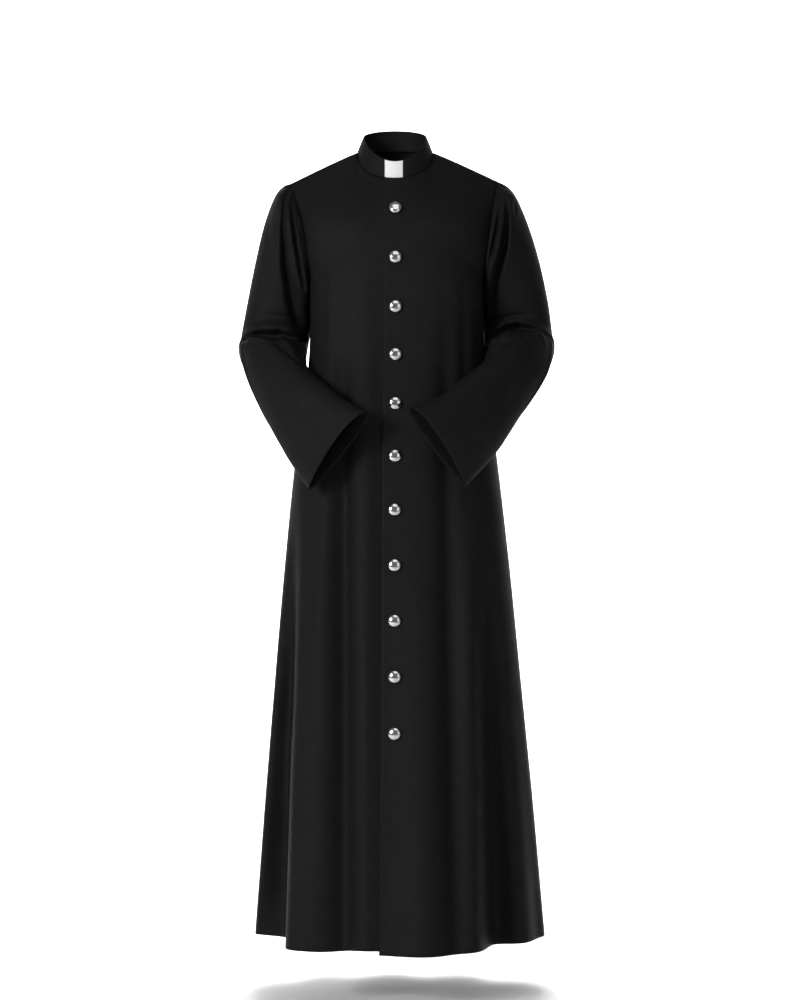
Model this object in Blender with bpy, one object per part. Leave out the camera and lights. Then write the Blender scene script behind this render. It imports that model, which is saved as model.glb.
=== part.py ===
"""Cassock, full length, worn: two lapped fronts, a back, two gathered sleeves,
a stand collar with its white tab, and eleven domed buttons.

Metres, +Z up, +X to the wearer's left, front of the garment towards -Y.
The origin is the middle of the neck at the height of the neck points.
"""
import math
from typing import NamedTuple

import bpy
import numpy as np

# ---------------------------------------------------------------- driving sizes
WALL = 0.0020              # cloth of the body and sleeves
COLLAR_WALL = 0.0026       # collar band, stiffened
TAB_WALL = 0.0012
SEAM = 0.0003              # space between two pieces at a seam
ARMHOLE_SEAM = 0.0004      # the same where a sleeve is set in
COLLAR_SEAM = 0.0005       # and where the collar stands on the neckline

HEM_Z = -1.510             # neck point to hem
ARMPIT_Z = -0.262
LAP_EDGE_X = -0.0225       # the upper front ends here, past the centre line
LAP_HEM_X = -0.0310        # and here at the hem
LAP_SLANT_Z = -0.400       # its edge leans out from this height down
UNDERLAP_EDGE_X = 0.0150   # the under front ends here
LAP_DROP = WALL + 0.0012   # how far the under front lies below the upper one
LAP_EASE = (0.0075, 0.0525)   # distance from the lap's edge over which it sinks
LAP_VALLEY = 0.0050        # how much deeper it hangs low down, beside the edge
LAP_VALLEY_EASE = (0.002, 0.028)
HEM_HANG = 0.0050          # how much lower the upper front hangs in its middle
HEM_HANG_X = (0.045, 0.090)   # where, and over what width
HEM_LIFT = 0.0045          # how much higher the under front hangs beside the lap
HEM_LIFT_X = (-0.160, -0.060)

NECK_HALF = 0.073
NECK_FRONT_Y = -0.078
NECK_BACK_Y = 0.060
NECK_FRONT_Z = -0.0575
NECK_DIP = 0.80            # how fast the neckline falls away from the neck points
NECK_BACK_Z = 0.008
NECK_SHARE = 0.40          # share of a top edge that is neckline, not shoulder
SHOULDER_RIGHT_X = -0.2015
SHOULDER_LEFT_X = 0.1990
SHOULDER_RIGHT_Z = -0.0602
SHOULDER_LEFT_Z = -0.0564
SHOULDER_EASE = 1.07        # above 1 the seam leaves the neck more level
ARMHOLE_WRAP = math.radians(66.0)

FRONT_COLUMNS = 20
CROWD = 0.06               # how far columns crowd towards the deep side folds
CROWD_AT = 0.62
BACK_COLUMNS = 40
LOWER_ROWS = 13
UPPER_ROWS = 11
SLEEVE_COLUMNS = 4 * UPPER_ROWS
SLEEVE_OUTER_SQUARE = 2.1
SLEEVE_ROWS_PER_SPAN = (2, 2, 2, 2, 2, 2, 2, 2, 2, 1)

COLLAR_TOP_HALF = 0.0605
COLLAR_TOP_FRONT = (-0.0715, -0.0235)    # y, z at the centre front
COLLAR_TOP_SIDE_Z = 0.031
COLLAR_TOP_BACK = (0.052, 0.048)         # y, z at the centre back
COLLAR_GAP_X = (-0.0208, 0.0154)         # its ends at the front
COLLAR_ROWS = 3

TAB_MARGIN = 0.006         # how far the tab runs on behind each collar end
TAB_FOOT_GAP = 0.0008      # tab to neckline
TAB_TOP_GAP = 0.0012       # tab to the collar's top edge
TAB_BEHIND = 0.0009        # tab to the inside of the collar band
CREASE_EASE = 0.012        # distance from the armhole over which creases begin
BUTTON_RADIUS = 0.0122
BUTTON_PROFILE = (         # radius, height above the cloth, foot to top
    (0.0, 0.0006), (0.0030, 0.0006), (0.0030, 0.0027), (BUTTON_RADIUS, 0.0034),
    (BUTTON_RADIUS - 0.0016, 0.0060), (BUTTON_RADIUS * 0.55, 0.0084), (0.0, 0.0092),
)
BUTTON_SEGMENTS = 14
BUTTONS = (                # x, z of each, top to hem
    (0.0006, -0.1198), (0.0006, -0.2138), (0.0008, -0.3069), (0.0008, -0.3970),
    (0.0004, -0.4890), (0.0000, -0.5880), (-0.0006, -0.6890), (-0.0006, -0.7930),
    (-0.0006, -0.8963), (-0.0003, -1.0004), (-0.0005, -1.1056),
)


# ---------------------------------------------------------------- tables
class Section(NamedTuple):
    """A level ring of the body below the armpits."""
    z: float
    right_half: float      # centre to the wearer's right side
    left_half: float       # centre to the wearer's left side
    front: float           # centre to the front
    back: float
    square: float          # 2 is an ellipse, more is squarer


SECTIONS = (
    #       z       right   left    front   back    square
    Section(HEM_Z,  0.272,  0.290,  0.238,  0.218,  2.60),
    Section(-1.250, 0.251,  0.266,  0.213,  0.200,  2.50),
    Section(-1.020, 0.232,  0.243,  0.192,  0.184,  2.45),
    Section(-0.790, 0.212,  0.220,  0.171,  0.168,  2.40),
    Section(-0.600, 0.193,  0.198,  0.153,  0.148,  2.45),
    Section(-0.400, 0.166,  0.173,  0.145,  0.130,  2.65),
    Section(ARMPIT_Z, 0.163, 0.170, 0.142,  0.124,  2.85),
)


class Yoke(NamedTuple):
    """A line across one side of the chest or back, centre to armhole."""
    centre_y: float
    centre_z: float
    right_x: float
    left_x: float
    edge_y: float
    edge_z: float
    square: float


FRONT_YOKES = (
    #    centre_y centre_z right_x left_x edge_y  edge_z  square
    Yoke(-0.1390, -0.196,  -0.166, 0.173, -0.062, -0.212, 2.3),
    Yoke(-0.1160, -0.122,  -0.178, 0.184, -0.056, -0.136, 2.3),
)
BACK_YOKES = (
    Yoke(0.1230,  -0.180,  -0.166, 0.173, 0.058,  -0.206, 2.3),
    Yoke(0.1040,  -0.088,  -0.182, 0.188, 0.050,  -0.128, 2.2),
)


class Fold(NamedTuple):
    """A soft fold that hangs down a panel. Depth is out, or in if negative."""
    top_x: float
    top_z: float
    full_z: float
    hem_x: float
    width_top: float
    width_hem: float
    depth_full: float
    depth_hem: float
    lean: float            # extra push straight forward or back


FRONT_FOLDS = (
    #    top_x   top_z   full_z  hem_x   w_top  w_hem  depth   at hem  lean
    Fold(-0.186, -0.640, -1.150, -0.250, 0.022, 0.050, -0.022, -0.046, 1.5),
    Fold(-0.190, -0.750, -1.250, -0.268, 0.034, 0.060, -0.004, -0.009, 6.0),
    Fold(-0.172, -0.640, -1.050, -0.196, 0.016, 0.020, 0.006,  0.012, 0.0),
    Fold(-0.132, -0.560, -0.900, -0.168, 0.018, 0.024, 0.006,  0.005, 0.0),
    Fold(-0.120, -0.700, -1.200, -0.130, 0.050, 0.080, -0.006, -0.014, 0.0),
    Fold(-0.102, -0.300, -0.640, -0.096, 0.016, 0.026, -0.014, -0.024, 0.0),
    Fold(-0.116, -0.170, -0.330, -0.140, 0.013, 0.020, 0.004,  0.000, 0.0),
    Fold(-0.048, -0.160, -0.340, -0.060, 0.016, 0.030, 0.003,  0.006, 0.0),
    Fold(0.040,  -0.620, -1.000, 0.064,  0.030, 0.052, 0.007,  0.026, 0.0),
    Fold(0.096,  -0.220, -0.600, 0.112,  0.015, 0.025, -0.012, -0.023, 0.0),
    Fold(0.130,  -0.200, -0.380, 0.150,  0.012, 0.020, -0.005, 0.000, 0.0),
    Fold(0.136,  -0.620, -0.950, 0.150,  0.018, 0.026, 0.008,  0.012, 0.0),
    Fold(0.168,  -0.700, -1.200, 0.214,  0.022, 0.048, -0.022, -0.040, 1.5),
    Fold(0.194,  -0.750, -1.250, 0.278,  0.034, 0.070, -0.004, -0.009, 5.0),
)
BACK_FOLDS = (
    Fold(-0.150, -0.600, -1.100, -0.205, 0.020, 0.030, -0.014, -0.030, 0.0),
    Fold(-0.104, -0.560, -1.000, -0.140, 0.020, 0.028, 0.007,  0.013, 0.0),
    Fold(-0.066, -0.380, -0.900, -0.078, 0.016, 0.026, -0.010, -0.021, 0.0),
    Fold(-0.018, -0.540, -1.000, -0.012, 0.024, 0.032, 0.006,  0.013, 0.0),
    Fold(0.052,  -0.420, -0.900, 0.060,  0.016, 0.026, -0.011, -0.023, 0.0),
    Fold(0.098,  -0.560, -1.000, 0.126,  0.020, 0.028, 0.008,  0.014, 0.0),
    Fold(0.152,  -0.620, -1.100, 0.200,  0.020, 0.030, -0.016, -0.032, 0.0),
)


class Ring(NamedTuple):
    """A ring of a sleeve: its outer and inner points and its half depths."""
    outer: tuple
    inner: tuple
    front: float
    rear: float
    pinch: float           # 0 is round, 1 draws the outer point to an edge
    square: float          # of the inner half, which lies flatter than the outer


RIGHT_SLEEVE = (
    #     outer                       inner                    front  rear   pinch square
    Ring((-0.2262, 0.002, -0.0765), (-0.1646, 0.006, -0.2715), 0.086, 0.086, 0.00, 2.2),
    Ring((-0.2505, 0.014, -0.130), (-0.1645, 0.021, -0.286), 0.083, 0.083, 0.00, 2.3),
    Ring((-0.2698, 0.028, -0.205), (-0.1645, 0.039, -0.304), 0.077, 0.077, 0.00, 2.2),
    Ring((-0.2862, 0.036, -0.286), (-0.1645, 0.056, -0.324), 0.072, 0.073, 0.00, 2.2),
    Ring((-0.2985, 0.032, -0.353), (-0.1658, 0.042, -0.356), 0.068, 0.068, 0.05, 2.3),
    Ring((-0.3000, 0.016, -0.396), (-0.1735, -0.032, -0.388), 0.063, 0.058, 0.10, 2.4),
    Ring((-0.2765, -0.032, -0.448), (-0.168, -0.095, -0.415), 0.058, 0.036, 0.20, 2.1),
    Ring((-0.2335, -0.090, -0.535), (-0.138, -0.152, -0.447), 0.052, 0.024, 0.35, 2.1),
    Ring((-0.196, -0.132, -0.600), (-0.096, -0.190, -0.482), 0.046, 0.022, 0.45, 2.1),
    Ring((-0.159, -0.166, -0.652), (-0.050, -0.228, -0.508), 0.040, 0.024, 0.50, 2.1),
)
LEFT_SLEEVE = (
    Ring((0.2275, 0.002, -0.077), (0.1716, 0.006, -0.2715), 0.086, 0.086, 0.00, 2.2),
    Ring((0.2545, 0.014, -0.130), (0.1715, 0.021, -0.286), 0.083, 0.083, 0.00, 2.3),
    Ring((0.2794, 0.028, -0.205), (0.1715, 0.039, -0.304), 0.077, 0.077, 0.00, 2.2),
    Ring((0.2970, 0.036, -0.286), (0.1715, 0.056, -0.324), 0.072, 0.073, 0.00, 2.2),
    Ring((0.3056, 0.032, -0.351), (0.1727, 0.043, -0.354), 0.068, 0.068, 0.05, 2.3),
    Ring((0.3074, 0.016, -0.390), (0.1778, -0.022, -0.382), 0.063, 0.058, 0.10, 2.4),
    Ring((0.285, -0.036, -0.442), (0.168, -0.102, -0.408), 0.058, 0.036, 0.20, 2.1),
    Ring((0.236, -0.096, -0.515), (0.126, -0.160, -0.443), 0.052, 0.024, 0.35, 2.1),
    Ring((0.190, -0.142, -0.582), (0.082, -0.202, -0.478), 0.046, 0.022, 0.45, 2.1),
    Ring((0.130, -0.180, -0.647), (0.026, -0.236, -0.498), 0.040, 0.024, 0.50, 2.1),
)


class Crease(NamedTuple):
    """A furrow or ridge on a sleeve between two places on it."""
    span_from: float       # in rings along the sleeve, 0 is the armhole
    angle_from: float      # 0 is the outer edge, 90 the front, 180 the inner
    span_to: float
    angle_to: float
    width: float
    depth: float


SLEEVE_CREASES = (
    # gathers at the head, front then back
    Crease(0.4, 38.0, 2.6, 36.0, 0.0070, -0.0035),
    Crease(0.4, 68.0, 3.4, 74.0, 0.0075, -0.0045),
    Crease(0.4, 92.0, 4.6, 112.0, 0.0085, -0.0060),
    Crease(0.5, 120.0, 3.8, 140.0, 0.0080, -0.0050),
    Crease(0.4, -40.0, 2.4, -40.0, 0.0070, -0.0035),
    Crease(0.4, -66.0, 3.2, -72.0, 0.0080, -0.0045),
    Crease(0.4, -94.0, 4.2, -104.0, 0.0085, -0.0055),
    Crease(0.5, -124.0, 3.6, -140.0, 0.0080, -0.0045),
    # across the front of the elbow, a full upper arm over a hollow
    Crease(4.2, 20.0, 4.45, 165.0, 0.0085, 0.0040),
    Crease(4.75, 22.0, 5.05, 155.0, 0.0085, -0.0070),
    Crease(6.0, 62.0, 6.9, 120.0, 0.0100, 0.0045),
    Crease(6.2, 110.0, 7.2, 160.0, 0.0090, -0.0055),
)


# ---------------------------------------------------------------- small maths
def unit(vectors):
    """Vectors of length one."""
    length = np.linalg.norm(vectors, axis=-1, keepdims=True)
    return vectors / np.maximum(length, 1e-12)


def smooth_step(value):
    """0 below zero, 1 above one, eased between."""
    value = np.clip(value, 0.0, 1.0)
    return value * value * (3.0 - 2.0 * value)


def knot_slopes(knots, values):
    """Slopes of a smooth curve through values at rising knots."""
    slopes = np.empty_like(values)
    steps = np.diff(knots)
    shape = (-1,) + (1,) * (values.ndim - 1)
    chords = np.diff(values, axis=0) / steps.reshape(shape)
    before = steps[:-1].reshape(shape)
    after = steps[1:].reshape(shape)
    slopes[1:-1] = (chords[:-1] * after + chords[1:] * before) / (before + after)
    slopes[0] = 1.5 * chords[0] - 0.5 * slopes[1]
    slopes[-1] = 1.5 * chords[-1] - 0.5 * slopes[-2]
    return slopes


def curve(knots, values, slopes, where):
    """Points on the curve at each place in where."""
    spans = np.clip(np.searchsorted(knots, where, side="right") - 1, 0, len(knots) - 2)
    shape = (-1,) + (1,) * (values.ndim - 1)
    step = (knots[spans + 1] - knots[spans]).reshape(shape)
    part = ((where - knots[spans]).reshape(shape)) / step
    low, high = values[spans], values[spans + 1]
    slope_low, slope_high = slopes[spans] * step, slopes[spans + 1] * step
    square, cube = part ** 2, part ** 3
    return ((2 * cube - 3 * square + 1) * low + (cube - 2 * square + part) * slope_low
            + (3 * square - 2 * cube) * high + (cube - square) * slope_high)


def unit_section(angle, square):
    """Across and forward parts of a rounded section at an angle from the front."""
    across, forward = np.sin(angle), np.cos(angle)
    size = (np.abs(across) ** square + np.abs(forward) ** square) ** (1.0 / square)
    return across / size, forward / size


def section_angle(share, square):
    """Angle from the front at which a section is that share of its half width."""
    share = np.clip(share, -0.995, 0.995)
    forward = (1.0 - np.abs(share) ** square) ** (1.0 / square)
    return np.arctan2(share, forward)


def grid_normals(points, closed, outward_sign):
    """Normals of a grid of points, columns first, each the mean of its faces'."""
    wrapped = np.concatenate([points, points[:1]]) if closed else points
    one = wrapped[1:, 1:] - wrapped[:-1, :-1]
    other = wrapped[:-1, 1:] - wrapped[1:, :-1]
    faces = unit(np.cross(one, other)) * outward_sign
    total = np.zeros_like(wrapped)
    for i in (0, 1):
        for j in (0, 1):
            total[i:len(wrapped) - 1 + i, j:wrapped.shape[1] - 1 + j] += faces
    if closed:
        total[0] += total[-1]
        total = total[:-1]
    return unit(total)


# ---------------------------------------------------------------- body
SECTION_ROWS = np.array(SECTIONS)
SECTION_SLOPES = knot_slopes(SECTION_ROWS[:, 0], SECTION_ROWS)


def section_at(z):
    """Body sizes at a height, held at the armpit's above it."""
    level = np.clip(np.atleast_1d(z), HEM_Z, ARMPIT_Z)
    rows = curve(SECTION_ROWS[:, 0], SECTION_ROWS, SECTION_SLOPES, level)
    return rows.T


def lower_levels():
    """Heights of the rows from the hem to the armpit, closer near the top."""
    share = np.linspace(0.0, 1.0, LOWER_ROWS + 1)
    return HEM_Z + (ARMPIT_Z - HEM_Z) * (share * 1.12 - 0.12 * share ** 2)


def ring_point(angle, z):
    """Point of the level ring at an angle from the front."""
    _, right, left, front, back, square = section_at(z)
    across, forward = unit_section(angle, square)
    half = np.where(across < 0.0, right, left)
    depth = np.where(forward > 0.0, front, back)
    return np.stack([half * across, -depth * forward, np.full_like(across, z)], axis=-1)


def angles_from_edge(edge_x, side, shares, half, square):
    """Angles of a panel's columns, from its centre edge round to its side."""
    edge = section_angle(edge_x * side / half, square)
    return side * (edge + (0.5 * math.pi - edge) * shares)


def yoke_line(yoke, side, edge_x, shares):
    """Points across the chest or back from the centre edge to the armhole."""
    end_x = yoke.left_x if side > 0 else -yoke.right_x
    end_across, end_forward = unit_section(np.array([ARMHOLE_WRAP]), yoke.square)
    edge = section_angle(edge_x * side / end_x * end_across, yoke.square)
    across, forward = unit_section(edge + (ARMHOLE_WRAP - edge) * shares, yoke.square)
    x = side * end_x * across / end_across
    reach = (forward - end_forward) / (1.0 - end_forward)
    y = yoke.edge_y + (yoke.centre_y - yoke.edge_y) * reach
    z = yoke.edge_z + (yoke.centre_z - yoke.edge_z) * reach
    return np.stack([x, y, z], axis=-1)


def top_line(side, edge_x, shares, is_front):
    """Neckline and shoulder seam, from the centre edge to the shoulder point."""
    edge = math.asin(edge_x * side / NECK_HALF)
    neck_part = np.clip(shares / NECK_SHARE, 0.0, 1.0)
    angle = edge + (0.5 * math.pi - edge) * neck_part
    cosine = np.maximum(np.cos(angle), 0.0)
    x = side * NECK_HALF * np.sin(angle)
    y = (NECK_FRONT_Y if is_front else NECK_BACK_Y) * cosine
    z = NECK_FRONT_Z * cosine ** NECK_DIP if is_front else NECK_BACK_Z * cosine
    run = np.clip((shares - NECK_SHARE) / (1.0 - NECK_SHARE), 0.0, 1.0)
    end_x = SHOULDER_LEFT_X if side > 0 else SHOULDER_RIGHT_X
    end_z = SHOULDER_LEFT_Z if side > 0 else SHOULDER_RIGHT_Z
    x = x + (end_x - side * NECK_HALF) * run
    z = z + end_z * run ** SHOULDER_EASE
    return np.stack([x, y, z], axis=-1)


def fold_offset(points, angle, folds, front):
    """How far each point of a panel is moved by its folds: out, and forward."""
    z = points[..., 2]
    shape = z.shape
    flat_z = z.reshape(-1)
    _, right, left, deep_front, deep_back, square = section_at(flat_z)
    depth = deep_front if front else deep_back
    bend = angle.reshape(-1)
    out = np.zeros_like(flat_z)
    forward = np.zeros_like(flat_z)
    for fold in folds:
        fall = np.clip((fold.top_z - flat_z) / (fold.top_z - HEM_Z), 0.0, 1.0)
        x = fold.top_x + (fold.hem_x - fold.top_x) * fall
        half = np.where(x < 0.0, right, left)
        centre = section_angle(x / half, square)
        away = (bend - centre) * 0.5 * (half + depth)
        width = fold.width_top + (fold.width_hem - fold.width_top) * fall
        grown = smooth_step((fold.top_z - flat_z) / (fold.top_z - fold.full_z))
        late = np.clip((fold.full_z - flat_z) / (fold.full_z - HEM_Z), 0.0, 1.0)
        size = grown * (fold.depth_full + (fold.depth_hem - fold.depth_full) * late)
        size = size * np.exp(-(away / width) ** 2)
        out += size
        forward += size * fold.lean
    return out.reshape(shape), forward.reshape(shape)


def edge_at(edge_x, hem_x, z):
    """Where a panel's centre edge is at a height below the armpit."""
    return edge_x + (hem_x - edge_x) * np.clip((LAP_SLANT_Z - z) / (LAP_SLANT_Z - HEM_Z), 0.0, 1.0)


def half_panel(side, edge_x, hem_x, columns, front):
    """Grid of one half of the front or back, with the angle of each point.

    Columns run from the centre edge to the side, rows from the hem to the top.
    """
    shares = np.linspace(0.0, 1.0, columns + 1)
    rows, angles = [], []
    for z in lower_levels():
        _, right, left, _, _, square = section_at(z)
        half = (left if side > 0 else right)[0]
        low = smooth_step((-0.5 - z) / 0.6) if front else 0.0
        crowded = shares - low * CROWD * (np.sin(2 * math.pi * (shares - CROWD_AT))
                                          + math.sin(2 * math.pi * CROWD_AT))
        angle = angles_from_edge(edge_at(edge_x, hem_x, z), side, crowded, half, square[0])
        around = angle if front else math.pi * side - angle
        rows.append(ring_point(around, z))
        angles.append(angle)
    yokes = FRONT_YOKES if front else BACK_YOKES
    keys = [rows[-1]]
    keys += [yoke_line(yoke, side, edge_x, shares) for yoke in yokes]
    keys.append(top_line(side, edge_x, shares, front))
    keys = np.array(keys)
    knots = np.array([0.0, 1.0, 2.0, 3.0]) / 3.0
    slopes = knot_slopes(knots, keys)
    rise = (rows[-1] - rows[-3]) / np.linalg.norm(rows[-1] - rows[-3], axis=-1, keepdims=True)
    reach = np.linalg.norm(keys[1] - keys[0], axis=-1, keepdims=True) * 3.0
    turn = smooth_step((shares - 0.55) / 0.45)[:, None]
    forward = np.array([0.0, -1.0 if front else 1.0, 0.12])
    slopes[0] = (rise * (1.0 - turn) + forward * turn) * reach
    heights = np.linspace(0.0, 1.0, UPPER_ROWS + 1)[1:]
    upper = curve(knots, keys, slopes, heights)
    rows += list(upper)
    angles += [angles[-1]] * UPPER_ROWS
    grid = np.array(rows).transpose(1, 0, 2)
    return grid, np.array(angles).T


def under_sink(x, z):
    """How far the under front lies below the lap, at a distance from its edge."""
    away = edge_at(LAP_EDGE_X, LAP_HEM_X, z) - x
    near, far = LAP_EASE
    sink = LAP_DROP * smooth_step((far - away) / (far - near))
    near, far = LAP_VALLEY_EASE
    low = smooth_step((-0.25 - z) / 0.40)
    return sink + LAP_VALLEY * low * smooth_step((far - away) / (far - near))


def fold_panel(grid, angle, side, front, outward_sign, under=False):
    """The panel's grid with its folds, and its lower layer sunk at the lap.

    The folds of the other face reach round the side seam, so both count.
    """
    normals = grid_normals(grid, False, outward_sign)
    own, other = (FRONT_FOLDS, BACK_FOLDS) if front else (BACK_FOLDS, FRONT_FOLDS)
    offset, forward = fold_offset(grid, angle, own, front)
    far_offset, far_forward = fold_offset(grid, math.pi * side - angle, other, not front)
    offset, forward = offset + far_offset, forward - far_forward
    if under:
        offset = offset - under_sink(grid[..., 0], grid[..., 2])
    moved = grid + normals * offset[..., None]
    moved[..., 1] -= forward if front else -forward
    if front:
        low = smooth_step((-1.20 - grid[..., 2]) / 0.31)
        middle, width = HEM_HANG_X
        near, far = HEM_LIFT_X
        if under:
            moved[..., 2] += HEM_LIFT * low * smooth_step((grid[..., 0] - near) / (far - near))
        else:
            moved[..., 2] -= HEM_HANG * low * np.exp(-((grid[..., 0] - middle) / width) ** 2)
    return moved


# ---------------------------------------------------------------- sleeves
def sleeve_ring(ring, path, side):
    """Points of a sleeve ring, from its outer point round by the front."""
    outer, inner = np.array(ring.outer), np.array(ring.inner)
    middle, long_axis = (outer + inner) / 2.0, (outer - inner) / 2.0
    front_axis = np.cross(long_axis, path) * -side
    front_axis = front_axis / np.linalg.norm(front_axis)
    angle = np.linspace(0.0, 2.0 * math.pi, SLEEVE_COLUMNS, endpoint=False)
    along, forward = np.cos(angle), np.sin(angle)
    square = np.where(along < 0.0, ring.square, SLEEVE_OUTER_SQUARE)
    size = (np.abs(along) ** square + np.abs(forward) ** square) ** (1.0 / square)
    along, forward = along / size, forward / size
    forward = forward * np.where(forward > 0.0, ring.front, ring.rear)
    forward = forward * (1.0 - ring.pinch * (1.0 + along) / 2.0)
    return middle + long_axis * along[:, None] + front_axis * forward[:, None]


def sleeve_grid(rings, armhole, side):
    """Grid of a sleeve, columns around it and rows from the armhole to the cuff."""
    middles = np.array([armhole.mean(axis=0)]
                       + [(np.array(r.outer) + np.array(r.inner)) / 2.0 for r in rings])
    paths = np.gradient(middles, axis=0)
    paths[:, 1] = np.minimum(paths[:, 1], 0.0)    # no ring turns its back to the body
    keys = [armhole]
    keys += [sleeve_ring(ring, paths[i + 1], side) for i, ring in enumerate(rings)]
    keys = np.array(keys)
    knots = np.arange(len(keys), dtype=float)
    slopes = knot_slopes(knots, keys)
    places = [0.0]
    for span, count in enumerate(SLEEVE_ROWS_PER_SPAN):
        places += [span + (k + 1) / count for k in range(count)]
    places = np.array(places)
    grid = curve(knots, keys, slopes, places).transpose(1, 0, 2)
    return grid, places


def crease_offset(grid, places, creases):
    """How far each point of a sleeve is moved out by the creases on it."""
    columns, rows = grid.shape[:2]
    around = np.degrees(np.linspace(0.0, 2.0 * math.pi, columns, endpoint=False))
    centre = grid.mean(axis=0)
    radius = np.linalg.norm(grid - centre, axis=-1).mean(axis=0)
    steps = np.linalg.norm(np.diff(centre, axis=0), axis=-1)
    length = np.concatenate([[0.0], np.cumsum(steps)])
    total = np.zeros((columns, rows))
    for crease in creases:
        start = np.interp(crease.span_from, places, length)
        end = np.interp(crease.span_to, places, length)
        spread = np.interp((crease.span_from + crease.span_to) / 2, places, radius)
        step = np.array([end - start,
                         math.radians(crease.angle_to - crease.angle_from) * spread])
        turn = (around - crease.angle_from + 180.0) % 360.0 - 180.0
        across = np.radians(turn)[:, None] * radius[None, :]
        along = np.broadcast_to(length[None, :] - start, across.shape)
        part = (along * step[0] + across * step[1]) / np.dot(step, step)
        held = np.clip(part, 0.0, 1.0)
        away = np.hypot(along - held * step[0], across - held * step[1])
        fade = np.sin(math.pi * np.clip(0.08 + 0.84 * held, 0.0, 1.0)) ** 0.7
        total += crease.depth * fade * np.exp(-(away / crease.width) ** 2)
    return total * smooth_step(length / CREASE_EASE)[None, :]


# ---------------------------------------------------------------- solids
def make_object(name, vertices, faces, material):
    """A closed, smooth-shaded solid with outward faces."""
    mesh = bpy.data.meshes.new(name)
    mesh.from_pydata([tuple(v) for v in vertices], [], faces)
    mesh.polygons.foreach_set("use_smooth", [True] * len(mesh.polygons))
    mesh.materials.append(material)
    mesh.update()
    thing = bpy.data.objects.new(name, mesh)
    bpy.context.scene.collection.objects.link(thing)
    return thing


def make_wall(name, outer, inner, closed, outward_sign, material):
    """A wall of cloth between two grids of points."""
    columns, rows = outer.shape[:2]
    count = columns * rows
    vertices = np.concatenate([outer.reshape(-1, 3), inner.reshape(-1, 3)])
    faces = []

    def add(*corners):
        faces.append(corners if outward_sign > 0 else corners[::-1])

    last = columns if closed else columns - 1
    for i in range(last):
        n = (i + 1) % columns
        for j in range(rows - 1):
            a, b = i * rows + j, n * rows + j
            add(a, b, b + 1)
            add(a, b + 1, a + 1)
            add(count + b + 1, count + b, count + a)
            add(count + a + 1, count + b + 1, count + a)
        a, b = i * rows, n * rows
        add(a, count + a, count + b, b)
        a, b = i * rows + rows - 1, n * rows + rows - 1
        add(a, b, count + b, count + a)
    if not closed:
        for j in range(rows - 1):
            a = j
            add(a, a + 1, count + a + 1, count + a)
            a = (columns - 1) * rows + j
            add(a, count + a, count + a + 1, a + 1)
    return make_object(name, vertices, faces, material)


def turned_solid(name, centre, axis, profile, segments, material):
    """A turned solid from (radius, height) steps, its ends on the axis."""
    axis = np.array(axis) / np.linalg.norm(axis)
    first = np.cross(axis, [0.0, 0.0, 1.0])
    first = first / np.linalg.norm(first)
    second = np.cross(axis, first)
    angle = np.linspace(0.0, 2.0 * math.pi, segments, endpoint=False)
    around = np.cos(angle)[:, None] * first + np.sin(angle)[:, None] * second
    vertices = [np.array(centre) + axis * profile[0][1]]
    for radius, height in profile[1:-1]:
        vertices += list(np.array(centre) + axis * height + around * radius)
    vertices.append(np.array(centre) + axis * profile[-1][1])
    faces = []
    top = len(vertices) - 1
    rings = len(profile) - 2
    for i in range(segments):
        n = (i + 1) % segments
        faces.append((0, 1 + n, 1 + i))
        for k in range(rings - 1):
            low, high = 1 + k * segments, 1 + (k + 1) * segments
            faces.append((low + i, low + n, high + n, high + i))
        high = 1 + (rings - 1) * segments
        faces.append((high + i, high + n, top))
    return make_object(name, vertices, faces, material)


def make_material(name, colour, roughness, metallic):
    """A plain material."""
    material = bpy.data.materials.new(name)
    material.use_nodes = True
    shader = material.node_tree.nodes["Principled BSDF"]
    shader.inputs["Base Color"].default_value = (*colour, 1.0)
    shader.inputs["Roughness"].default_value = roughness
    shader.inputs["Metallic"].default_value = metallic
    return material


# ---------------------------------------------------------------- assembly
def across_seam(normal, seam_direction, towards):
    """Unit step across a seam, in the cloth, on the side given by towards."""
    step = np.cross(normal, seam_direction)
    step = unit(step)
    facing = np.sign(np.sum(step * towards, axis=-1, keepdims=True))
    return step * facing


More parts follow.
